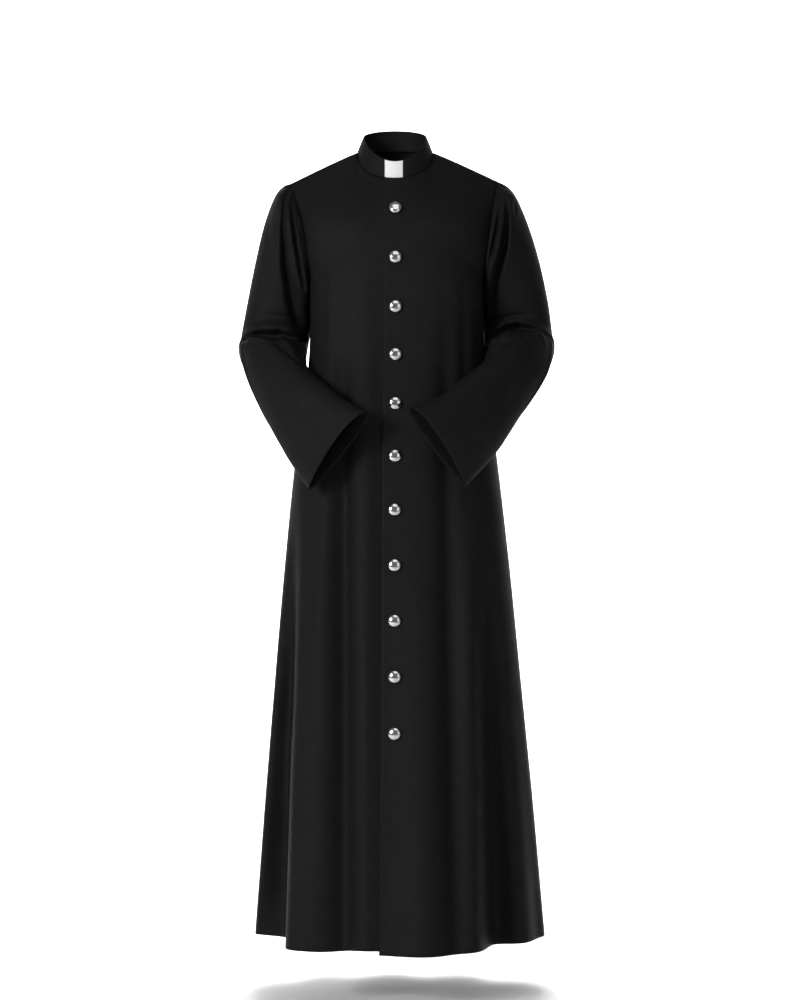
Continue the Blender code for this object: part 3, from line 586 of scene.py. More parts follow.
RING_PLACES = {
    #    outer point, then inner point
    Side.RIGHT: (
        ((-0.2262, 0.002, -0.0765), (-0.1634, 0.008, -0.2715)),
        ((-0.2505, 0.014, -0.130), (-0.1635, 0.024, -0.286)),
        ((-0.2698, 0.028, -0.205), (-0.1645, 0.039, -0.304)),
        ((-0.2862, 0.036, -0.286), (-0.1645, 0.056, -0.324)),
        ((-0.2985, 0.032, -0.353), (-0.1658, 0.042, -0.356)),
        ((-0.3000, 0.016, -0.396), (-0.1735, -0.032, -0.388)),
        ((-0.2765, -0.032, -0.448), (-0.168, -0.095, -0.415)),
        ((-0.2335, -0.090, -0.535), (-0.138, -0.152, -0.447)),
        ((-0.196, -0.132, -0.600), (-0.096, -0.190, -0.482)),
        ((-0.159, -0.166, -0.652), (-0.050, -0.228, -0.508)),
    ),
    Side.LEFT: (
        ((0.2275, 0.002, -0.077), (0.1704, 0.008, -0.2715)),
        ((0.2545, 0.014, -0.130), (0.1705, 0.024, -0.286)),
        ((0.2794, 0.028, -0.205), (0.1715, 0.039, -0.304)),
        ((0.2970, 0.036, -0.286), (0.1715, 0.056, -0.324)),
        ((0.3056, 0.032, -0.351), (0.1720, 0.043, -0.354)),
        ((0.3074, 0.016, -0.390), (0.1728, -0.026, -0.382)),
        ((0.285, -0.036, -0.442), (0.168, -0.102, -0.408)),
        ((0.236, -0.096, -0.515), (0.126, -0.160, -0.443)),
        ((0.190, -0.142, -0.582), (0.082, -0.202, -0.478)),
        ((0.130, -0.180, -0.647), (0.026, -0.236, -0.498)),
    ),
}
RING_FORMS = (
    # front  rear   pinch square
    (0.086, 0.086, 0.00, 2.2),
    (0.083, 0.083, 0.00, 2.3),
    (0.077, 0.077, 0.00, 2.2),
    (0.072, 0.073, 0.00, 2.2),
    (0.068, 0.068, 0.05, 2.3),
    (0.063, 0.058, 0.10, 2.4),
    (0.058, 0.036, 0.20, 2.1),
    (0.052, 0.024, 0.35, 2.1),
    (0.046, 0.022, 0.45, 2.1),
    (0.040, 0.024, 0.50, 2.1),
)
RINGS = {side: tuple(Ring(*place, *form) for place, form in zip(places, RING_FORMS))
         for side, places in RING_PLACES.items()}
SLEEVE_CREASES = (
    # gathers at the back of the head
    SleeveCrease(0.3, -38.0, 2.4, -40.0, 0.0065, -0.0055),
    SleeveCrease(0.3, -66.0, 3.2, -74.0, 0.0070, -0.0085),
    SleeveCrease(0.3, -94.0, 4.2, -106.0, 0.0080, -0.0105),
    SleeveCrease(0.4, -120.0, 3.6, -136.0, 0.0070, -0.0080),
    SleeveCrease(0.15, -26.0, 1.3, -24.0, 0.0045, -0.0020),
    SleeveCrease(0.15, -52.0, 1.5, -55.0, 0.0045, -0.0026),
    SleeveCrease(0.15, -80.0, 1.7, -86.0, 0.0045, -0.0030),
    SleeveCrease(0.15, -108.0, 1.6, -118.0, 0.0045, -0.0026),
    # forearm
    SleeveCrease(6.0, 62.0, 6.9, 120.0, 0.0100, 0.0045),
    SleeveCrease(6.2, 110.0, 7.2, 160.0, 0.0090, -0.0055),
    SleeveCrease(5.9, 15.0, 6.1, 70.0, 0.0050, -0.0030),
    SleeveCrease(5.6, 95.0, 6.4, 60.0, 0.0050, 0.0030),
    SleeveCrease(5.7, 100.0, 6.6, 145.0, 0.0050, 0.0030),
    SleeveCrease(6.5, 130.0, 7.4, 150.0, 0.0050, 0.0022),
    # the line where the forearm's front turns under
    SleeveCrease(6.1, 40.0, 7.9, 24.0, 0.0070, 0.0030),
    SleeveCrease(6.4, 12.0, 8.6, 8.0, 0.0110, -0.0030),
)
SLEEVE_FURROWS = {
    Side.RIGHT: (
        # down from the head to the armpit
        Furrow(((-0.2035, -0.0700, 0.0030, 0.0035, 0.006),
                (-0.2100, -0.0950, 0.0040, 0.0050, 0.013),
                (-0.2125, -0.1498, 0.0045, 0.0060, 0.020),
                (-0.2095, -0.2224, 0.0050, 0.0072, 0.025),
                (-0.1985, -0.2900, 0.0130, 0.0090, 0.028),
                (-0.1860, -0.3400, 0.0170, 0.0100, 0.026))),
        Furrow(((-0.1972, -0.0900, 0.0025, 0.0025, 0.005),
                (-0.1945, -0.1380, 0.0030, 0.0032, 0.012),
                (-0.1889, -0.1842, 0.0035, 0.0040, 0.016),
                (-0.1803, -0.2300, 0.0040, 0.0045, 0.018),
                (-0.1735, -0.2640, 0.0040, 0.0045, 0.012))),
        Furrow(((-0.2040, -0.0900, 0.0020, 0.0020, 0.003),
                (-0.2000, -0.1180, 0.0022, 0.0022, 0.005))),
        Furrow(((-0.1885, -0.1240, 0.0020, 0.0022, 0.004),
                (-0.1850, -0.1560, 0.0022, 0.0026, 0.005))),
        Furrow(((-0.2440, -0.1250, 0.0060, 0.0080, 0.003),
                (-0.2420, -0.1850, 0.0080, 0.0100, 0.004))),
        # across the front of the elbow
        Furrow(((-0.2980, -0.3610, 0.0070, 0.0045, 0.024),
                (-0.2600, -0.3555, 0.0092, 0.0055, 0.044),
                (-0.2194, -0.3570, 0.0098, 0.0055, 0.048),
                (-0.1780, -0.3660, 0.0095, 0.0055, 0.046))),
        Furrow(((-0.2950, -0.3800, 0.0035, 0.0035, 0.006),
                (-0.2650, -0.3755, 0.0045, 0.0040, 0.011),
                (-0.2300, -0.3740, 0.0035, 0.0035, 0.006))),
    ),
    Side.LEFT: (
        Furrow(((0.2110, -0.0800, 0.0030, 0.0030, 0.005),
                (0.2147, -0.1120, 0.0045, 0.0040, 0.014),
                (0.2112, -0.1478, 0.0078, 0.0052, 0.024),
                (0.2070, -0.1900, 0.0082, 0.0055, 0.028),
                (0.1976, -0.2250, 0.0078, 0.0055, 0.028),
                (0.1909, -0.2660, 0.0068, 0.0052, 0.024),
                (0.1858, -0.3080, 0.0045, 0.0040, 0.012))),
        Furrow(((0.1965, -0.0900, 0.0025, 0.0025, 0.005),
                (0.1985, -0.1200, 0.0032, 0.0025, 0.010),
                (0.1944, -0.1480, 0.0045, 0.0032, 0.016),
                (0.1860, -0.1900, 0.0050, 0.0034, 0.018),
                (0.1785, -0.2300, 0.0050, 0.0034, 0.014))),
        Furrow(((0.2295, -0.1010, 0.0025, 0.0025, 0.005),
                (0.2310, -0.1230, 0.0030, 0.0030, 0.006))),
        Furrow(((0.2215, -0.1000, 0.0035, 0.0035, -0.002),
                (0.2190, -0.1700, 0.0040, 0.0040, -0.004),
                (0.2070, -0.2500, 0.0040, 0.0040, -0.004))),
        # across the front of the elbow
        Furrow(((0.1784, -0.3626, 0.0080, 0.0050, 0.032),
                (0.1970, -0.3520, 0.0088, 0.0050, 0.044),
                (0.2180, -0.3425, 0.0090, 0.0050, 0.046),
                (0.2392, -0.3410, 0.0090, 0.0050, 0.046),
                (0.2640, -0.3455, 0.0075, 0.0048, 0.036),
                (0.2860, -0.3500, 0.0050, 0.0045, 0.014))),
        Furrow(((0.1880, -0.3740, 0.0025, 0.0035, 0.006),
                (0.2200, -0.3670, 0.0025, 0.0035, 0.006))),
    ),
}


# ------------------------------------------------------------------ cloth meshes
def smooth_mesh(name: str, vertices: list, faces: list,
                material: bpy.types.Material) -> bpy.types.Mesh:
    """A smooth shaded mesh of one material."""
    mesh = bpy.data.meshes.new(name)
    mesh.from_pydata(vertices, [], faces)
    mesh.polygons.foreach_set("use_smooth", np.ones(len(mesh.polygons), dtype=bool))
    mesh.materials.append(material)
    return mesh


def link_object(name: str, data: bpy.types.ID) -> bpy.types.Object:
    """A new object in the scene."""
    new = bpy.data.objects.new(name, data)
    bpy.context.scene.collection.objects.link(new)
    return new


@dataclass
class Shell:
    """A grid of cloth with its normals."""

    points: np.ndarray
    normals: np.ndarray
    closed: bool
    sign: float

    def renew_normals(self) -> None:
        """Work the normals out again after the points have moved."""
        self.normals = grid_normals(self.points, self.closed, self.sign)

    def move_out(self, distance: np.ndarray) -> None:
        """Move each point along its normal."""
        self.points = self.points + self.normals * distance[..., None]

    def make(self, name: str, thickness: np.ndarray | float,
             material: bpy.types.Material, lowered: float = 0.0) -> bpy.types.Object:
        """Build the cloth as a closed wall.

        Args:
            name: the piece's name.
            thickness: the wall's thickness, one number or one for each point.
            material: its finish.
            lowered: how much lower the inner edge of the first row lies.

        Returns:
            The new object, smooth shaded, with a "cloth" map in metres.
        """
        inner = self.points - self.normals * np.broadcast_to(
            thickness, self.points.shape[:2])[..., None]
        inner[:, 0, 2] -= lowered
        columns, rows = self.points.shape[:2]
        count = columns * rows
        vertices = np.concatenate([self.points.reshape(-1, 3), inner.reshape(-1, 3)])
        index = np.arange(count).reshape(columns, rows)
        if self.closed:
            index = np.concatenate([index, index[:1]])
        a, b = index[:-1, :-1].ravel(), index[1:, :-1].ravel()
        c, d = index[1:, 1:].ravel(), index[:-1, 1:].ravel()
        quads = [np.stack([a, b, c, d], 1), np.stack([d, c, b, a], 1) + count]
        for low, high in ((index[:-1, 0], index[1:, 0]), (index[1:, -1], index[:-1, -1])):
            quads.append(np.stack([low, low + count, high + count, high], 1))
        if not self.closed:
            for low, high in ((index[0, 1:], index[0, :-1]), (index[-1, :-1], index[-1, 1:])):
                quads.append(np.stack([low, low + count, high + count, high], 1))
        faces = np.concatenate(quads)
        if self.sign < 0:
            faces = faces[:, ::-1]
        mesh = smooth_mesh(name, vertices.tolist(), faces.tolist(), material)
        across = run_lengths(self.points, 0).mean(axis=1, keepdims=True)
        along = run_lengths(self.points, 1)
        place = np.stack([np.broadcast_to(across, along.shape), along], -1).reshape(-1, 2)
        place = np.concatenate([place, place])
        layer = mesh.uv_layers.new(name="cloth")
        corners = np.empty(len(mesh.loops), dtype=np.int32)
        mesh.loops.foreach_get("vertex_index", corners)
        layer.data.foreach_set("uv", place[corners].astype(np.float32).ravel())
        mesh.update()
        return link_object(name, mesh)


def segment_distance(first: np.ndarray, second: np.ndarray, start: tuple[float, float],
                     end: tuple[float, float]) -> tuple[np.ndarray, np.ndarray]:
    """Distance of plane points from a segment, and the nearest place on it, 0 to 1."""
    step = (end[0] - start[0], end[1] - start[1])
    along, across = first - start[0], second - start[1]
    part = (along * step[0] + across * step[1]) / (step[0] ** 2 + step[1] ** 2)
    part = np.clip(part, 0.0, 1.0)
    return np.hypot(along - part * step[0], across - part * step[1]), part


def fade_ends(part: np.ndarray) -> np.ndarray:
    """Full in the middle of a crease, running out towards its ends."""
    return np.sin(math.pi * np.clip(0.08 + 0.84 * part, 0.0, 1.0)) ** 0.7


@dataclass
class BodyForm:
    """The form that the two fronts and the back share."""

    hem_z: float = -1.510
    armpit_z: float = -0.262
    lap_edge_x: float = -0.0225
    lap_hem_x: float = -0.0310
    lap_slant_z: float = -0.400
    underlap_edge_x: float = 0.0150
    lap_drop: float = 0.0032
    lap_ease: tuple[float, float] = (0.0075, 0.0525)
    lap_valley: float = 0.0050
    lap_valley_ease: tuple[float, float] = (0.002, 0.028)
    valley_top_z: float = -0.25
    valley_run: float = 0.40
    crowd_top_z: float = -0.5
    crowd_run: float = 0.6
    hem_form_z: float = -1.20
    hem_form_run: float = 0.31
    hem_hang: float = 0.0050
    hem_hang_x: tuple[float, float] = (0.045, 0.090)
    hem_lift: float = 0.0045
    hem_lift_x: tuple[float, float] = (-0.160, -0.060)
    neck_half: float = 0.073
    neck_front_y: float = -0.078
    neck_back_y: float = 0.060
    neck_front_z: float = -0.0575
    neck_back_z: float = 0.008
    neck_dip: float = 0.80
    neck_share: float = 0.40
    shoulder_x: tuple[float, float] = (-0.2015, 0.1990)
    shoulder_z: tuple[float, float] = (-0.0602, -0.0564)
    shoulder_ease: float = 1.07
    armhole_wrap: float = math.radians(66.0)
    crowd: float = 0.06
    crowd_at: float = 0.62
    half_columns: int = 75
    lower_rows: int = 260
    upper_rows: int = 66
    coarse_row: int = 20
    seam: float = 0.0003

    def __post_init__(self) -> None:
        """Make the curves of the body's sizes."""
        rows = np.array([[s.z, s.right_half, s.left_half, s.front, s.back, s.square]
                         for s in SECTIONS])
        self.sizes = Spline(rows[:, 0], rows)

    def sizes_at(self, z: np.ndarray | float) -> np.ndarray:
        """Body sizes at a height, held at the armpit's above it."""
        return self.sizes.at(np.clip(np.atleast_1d(z), self.hem_z, self.armpit_z)).T

    def levels(self) -> np.ndarray:
        """Heights of the rows from the hem to the armpit."""
        share = np.linspace(0.0, 1.0, self.lower_rows + 1)
        return self.hem_z + (self.armpit_z - self.hem_z) * (share * 1.12 - 0.12 * share ** 2)

    def ring_point(self, angle: np.ndarray, z: float) -> np.ndarray:
        """Points of the level ring at angles from the front."""
        _, right, left, front, back, square = self.sizes_at(z)
        across, forward = rounded(angle, square)
        half = np.where(across < 0.0, right, left)
        depth = np.where(forward > 0.0, front, back)
        return np.stack([half * across, -depth * forward, np.full_like(across, z)], -1)

    def yoke_line(self, yoke: Yoke, side: Side, edge_x: float,
                  shares: np.ndarray) -> np.ndarray:
        """Points across the chest or back from the centre edge to the armhole."""
        end_x = yoke.left_x if side is Side.LEFT else -yoke.right_x
        end_across, end_forward = rounded(np.array([self.armhole_wrap]), yoke.square)
        edge = rounded_angle(edge_x * side.value / end_x * end_across, yoke.square)
        across, forward = rounded(edge + (self.armhole_wrap - edge) * shares, yoke.square)
        reach = (forward - end_forward) / (1.0 - end_forward)
        return np.stack([side.value * end_x * across / end_across,
                         yoke.edge_y + (yoke.centre_y - yoke.edge_y) * reach,
                         yoke.edge_z + (yoke.centre_z - yoke.edge_z) * reach], -1)

    def neckline(self, angle: np.ndarray) -> np.ndarray:
        """Points of the neckline at angles from the centre front."""
        cosine = np.cos(angle)
        fore, rear = np.maximum(cosine, 0.0), np.maximum(-cosine, 0.0)
        return np.stack([self.neck_half * np.sin(angle),
                         self.neck_front_y * fore + self.neck_back_y * rear,
                         self.neck_front_z * fore ** self.neck_dip
                         + self.neck_back_z * rear], -1)

    def top_line(self, side: Side, face: Face, edge_x: float,
                 shares: np.ndarray) -> np.ndarray:
        """Neckline and shoulder seam, from the centre edge to the shoulder point."""
        edge = math.asin(edge_x * side.value / self.neck_half)
        angle = edge + (QUARTER - edge) * np.clip(shares / self.neck_share, 0.0, 1.0)
        if face is Face.BACK:
            angle = math.pi - angle
        line = self.neckline(side.value * angle)
        run = np.clip((shares - self.neck_share) / (1.0 - self.neck_share), 0.0, 1.0)
        end = 1 if side is Side.LEFT else 0
        line[:, 0] += (self.shoulder_x[end] - side.value * self.neck_half) * run
        line[:, 2] += self.shoulder_z[end] * run ** self.shoulder_ease
        return line

    def fold_sizes(self, points: np.ndarray, angle: np.ndarray, folds: tuple[Fold, ...],
                   face: Face) -> tuple[np.ndarray, np.ndarray]:
        """How far the folds of one face move each point.

        Args:
            points: the grid.
            angle: each point's angle from the middle of that face.
            folds: the face's folds.
            face: the front or the back.

        Returns:
            How far out, and how far straight away from the middle.
        """
        z = points[..., 2].reshape(-1)
        _, right, left, deep_front, deep_back, square = self.sizes_at(z)
        depth = deep_front if face is Face.FRONT else deep_back
        bend = angle.reshape(-1)
        out, straight = np.zeros_like(z), np.zeros_like(z)
        for fold in folds:
            fall = part_way(z, fold.top_z, self.hem_z)
            x = fold.top_x + (fold.hem_x - fold.top_x) * fall
            half = np.where(x < 0.0, right, left)
            away = (bend - rounded_angle(x / half, square)) * 0.5 * (half + depth)
            width = fold.width_top + (fold.width_hem - fold.width_top) * fall
            grown = ease(part_way(z, fold.top_z, fold.full_z))
            late = part_way(z, fold.full_z, self.hem_z)
            size = grown * (fold.depth_full + (fold.depth_hem - fold.depth_full) * late)
            size = size * bell(away, width)
            out += size
            straight += size * fold.lean
        return out.reshape(points.shape[:2]), straight.reshape(points.shape[:2])

    def edge_at(self, edge_x: float, hem_x: float, z: np.ndarray | float) -> np.ndarray:
        """Where a panel's centre edge is at a height below the armpit."""
        fall = part_way(z, self.lap_slant_z, self.hem_z)
        return edge_x + (hem_x - edge_x) * fall

    def under_sink(self, x: np.ndarray, z: np.ndarray) -> np.ndarray:
        """How far the under front lies below the lap."""
        away = self.edge_at(self.lap_edge_x, self.lap_hem_x, z) - x
        near, far = self.lap_ease
        sink = self.lap_drop * ease(part_way(away, far, near))
        near, far = self.lap_valley_ease
        low = ease((self.valley_top_z - z) / self.valley_run)
        return sink + self.lap_valley * low * ease(part_way(away, far, near))

    def panel(self, side: Side, face: Face, edge_x: float, hem_x: float,
              under: bool = False) -> np.ndarray:
        """Grid of one half of the front or back, centre edge to side, hem to top.

        Args:
            side: the wearer's left or right.
            face: the front or the back.
            edge_x: where the centre edge lies.
            hem_x: where it lies at the hem.
            under: whether it is the front that lies under the lap.

        Returns:
            The grid, columns by rows by 3.
        """
        shares = np.linspace(0.0, 1.0, self.half_columns + 1)
        swing = self.crowd * (np.sin(FULL * (shares - self.crowd_at))
                              + math.sin(FULL * self.crowd_at))
        rows, angles = [], []
        for z in self.levels():
            _, right, left, _, _, square = self.sizes_at(z)
            half = (left if side is Side.LEFT else right)[0]
            low = ease((self.crowd_top_z - z) / self.crowd_run) if face is Face.FRONT else 0.0
            at_edge = self.edge_at(edge_x, hem_x, z)
            edge = rounded_angle(at_edge * side.value / half, square[0])
            angle = side.value * (edge + (QUARTER - edge) * (shares - low * swing))
            around = angle if face is Face.FRONT else math.pi * side.value - angle
            rows.append(self.ring_point(around, z))
            angles.append(angle)
        keys = [rows[-1]]
        keys += [self.yoke_line(yoke, side, edge_x, shares) for yoke in YOKES[face]]
        keys.append(self.top_line(side, face, edge_x, shares))
        rise = unit(rows[-1] - rows[-1 - 2 * self.coarse_row])
        upper = Spline(np.arange(4.0) / 3.0, np.array(keys))
        reach = np.linalg.norm(keys[1] - keys[0], axis=-1, keepdims=True) * 3.0
        turn = ease((shares - 0.55) / 0.45)[:, None]
        forward = np.array([0.0, -float(face.value), 0.12])
        upper.slopes[0] = (rise * (1.0 - turn) + forward * turn) * reach
        rows += list(upper.at(np.linspace(0.0, 1.0, self.upper_rows + 1)[1:]))
        angles += [angles[-1]] * self.upper_rows
        grid = np.array(rows).transpose(1, 0, 2)
        angle = np.array(angles).T
        return self.fold(grid, angle, side, face, under)

    def fold(self, grid: np.ndarray, angle: np.ndarray, side: Side, face: Face,
             under: bool) -> np.ndarray:
        """Move a panel's points by its folds and creases."""
        normals = grid_normals(grid, False, float(side.value * face.value))
        other = Face.BACK if face is Face.FRONT else Face.FRONT
        mirrored = math.pi * side.value - angle
        own_out, own_straight = self.fold_sizes(grid, angle, FOLDS[face], face)
        far_out, far_straight = self.fold_sizes(grid, mirrored, FOLDS[other], other)
        out = own_out + far_out
        straight = (own_straight - far_straight) * -face.value
        for crease in BODY_CREASES[face]:
            away, part = segment_distance(grid[..., 0], grid[..., 2],
                                          (crease.x_from, crease.z_from),
                                          (crease.x_to, crease.z_to))
            out = out + crease.depth * fade_ends(part) * bell(away, crease.width)
        if under:
            out = out - self.under_sink(grid[..., 0], grid[..., 2])
        moved = grid + normals * out[..., None]
        moved[..., 1] += straight
        if face is Face.FRONT:
            low = ease((self.hem_form_z - grid[..., 2]) / self.hem_form_run)
            middle, width = self.hem_hang_x
            near, far = self.hem_lift_x
            if under:
                moved[..., 2] += self.hem_lift * low * ease((grid[..., 0] - near) / (far - near))
            else:
                hang = bell(grid[..., 0] - middle, width)
                moved[..., 2] -= self.hem_hang * low * hang
        return moved


@dataclass
class Body:
    """The two fronts and the back, joined at the side and shoulder seams."""

    form: BodyForm
    wall: float = 0.0012
    hem_turn: float = 0.030
    hem_wall: float = 0.0020
    seam_sink: float = 0.0008
    seam_width: float = 0.0030

    def __post_init__(self) -> None:
        """Make the three panels and share their seams."""
        form = self.form
        left = form.panel(Side.LEFT, Face.FRONT, form.lap_edge_x, form.lap_hem_x)
        right = form.panel(Side.RIGHT, Face.FRONT, form.underlap_edge_x,
                           form.underlap_edge_x, under=True)
        back_left = form.panel(Side.LEFT, Face.BACK, 0.0, 0.0)
        back_right = form.panel(Side.RIGHT, Face.BACK, 0.0, 0.0)
        back = np.concatenate([back_right[::-1], back_left[1:]])
        self.pit = form.lower_rows
        self.neck = int(round(form.neck_share * form.half_columns))
        self.share_edges(left, back, True)
        self.share_edges(right, back, False)
        self.left = Shell(left, grid_normals(left, False, 1.0), False, 1.0)
        self.right = Shell(right, grid_normals(right, False, -1.0), False, -1.0)
        self.back = Shell(back, grid_normals(back, False, -1.0), False, -1.0)
        self.sink_seams()
        self.share_edges(self.left.normals, self.back.normals, True)
        self.share_edges(self.right.normals, self.back.normals, False)
        for shell in (self.left, self.right, self.back):
            shell.normals = unit(shell.normals)

    def back_column(self, column: int, is_left: bool) -> int:
        """The back's column that meets a front's."""
        middle = self.form.half_columns
        return middle + column if is_left else middle - column

    def share_edges(self, front: np.ndarray, back: np.ndarray, is_left: bool) -> None:
        """Give the two sides of each seam the same values, their mean."""
        edge = self.back_column(self.form.half_columns, is_left)
        mean = (front[-1, :self.pit + 1] + back[edge, :self.pit + 1]) / 2.0
        front[-1, :self.pit + 1] = mean
        back[edge, :self.pit + 1] = mean
        for column in range(self.neck, self.form.half_columns + 1):
            mate = self.back_column(column, is_left)
            mean = (front[column, -1] + back[mate, -1]) / 2.0
            front[column, -1] = mean
            back[mate, -1] = mean

    def sink_seams(self) -> None:
        """Draw the cloth in a little beside each sewn edge."""
        for shell in (self.left, self.right, self.back):
            points = shell.points
            across = run_lengths(points, 0)
            from_top = run_lengths(points[:, ::-1], 1)[:, ::-1]
            near = bell(across[-1] - across, self.seam_width)
            if shell is self.back:
                near += bell(across, self.seam_width)
            near = np.maximum(near, bell(from_top, self.seam_width))
            shell.move_out(-self.seam_sink * near)
            shell.renew_normals()
        for shell, is_left in ((self.left, True), (self.right, False)):
            self.share_edges(shell.points, self.back.points, is_left)

    def armhole(self, is_left: bool) -> tuple[np.ndarray, np.ndarray]:
        """The armhole's edge and its normals, from the shoulder by the front."""
        front = self.left if is_left else self.right
        edge = -1 if is_left else 0
        loops = []
        for front_values, back_values in ((front.points, self.back.points),
                                          (front.normals, self.back.normals)):
            loops.append(np.concatenate([front_values[-1, self.pit:][::-1],
                                         back_values[edge, self.pit:][1:-1]]))
        return loops[0], loops[1]

    def set_armhole_normals(self, is_left: bool, normals: np.ndarray) -> None:
        """Give the armhole's edge the normals that it shares with its sleeve."""
        front = self.left if is_left else self.right
        edge = -1 if is_left else 0
        count = self.form.upper_rows
        front.normals[-1, self.pit:] = normals[:count + 1][::-1]
        self.back.normals[edge, self.pit:-1] = normals[count:]
        self.back.normals[edge, -1] = normals[0]

    def open_seams(self) -> None:
        """Draw the panels back from their shared seams by half the space each."""
        half = self.form.seam / 2.0
        for front, is_left in ((self.left, True), (self.right, False)):
            edge, inward = (-1, -2) if is_left else (0, 1)
            low = slice(0, self.pit + 1)
            along = np.gradient(front.points[-1], axis=0)
            for shell, column, mate in ((front, -1, -2), (self.back, edge, inward)):
                towards = shell.points[mate] - shell.points[column]
                step = across_seam(front.normals[-1], along, towards)
                shell.points[column, low] += step[low] * half
            top = front.points[self.neck:, -1]
            towards = front.points[self.neck:, -2] - top
            step = across_seam(front.normals[self.neck:, -1],
                               np.gradient(top, axis=0), towards)
            for offset, column in enumerate(range(self.neck, self.form.half_columns + 1)):
                self.back.points[self.back_column(column, is_left), -1] -= step[offset] * half
            front.points[self.neck:, -1] += step * half

    def wall_of(self, shell: Shell) -> np.ndarray:
        """Thickness of the cloth, more where the hem is turned up."""
        height = run_lengths(shell.points, 1)
        turned = 1.0 - ease((height - self.hem_turn) / TURN_EDGE)
        return self.wall + (self.hem_wall - self.wall) * turned

    def dress(self, material: bpy.types.Material) -> None:
        """Make the three pieces and hide the imported solids of those parts."""
        for shell, name, node, flat, area in (
                (self.left, "left_front_cloth", "front_left", (0.50, 1.53), 0.530),
                (self.right, "right_front_cloth", "front_right", (0.47, 1.53), 0.508),
                (self.back, "back_cloth", "back", (0.94, 1.55), 0.958)):
            piece = shell.make(name, self.wall_of(shell), material)
            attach(piece, "root")
            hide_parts(node)
            LOG.info("%s made", name)


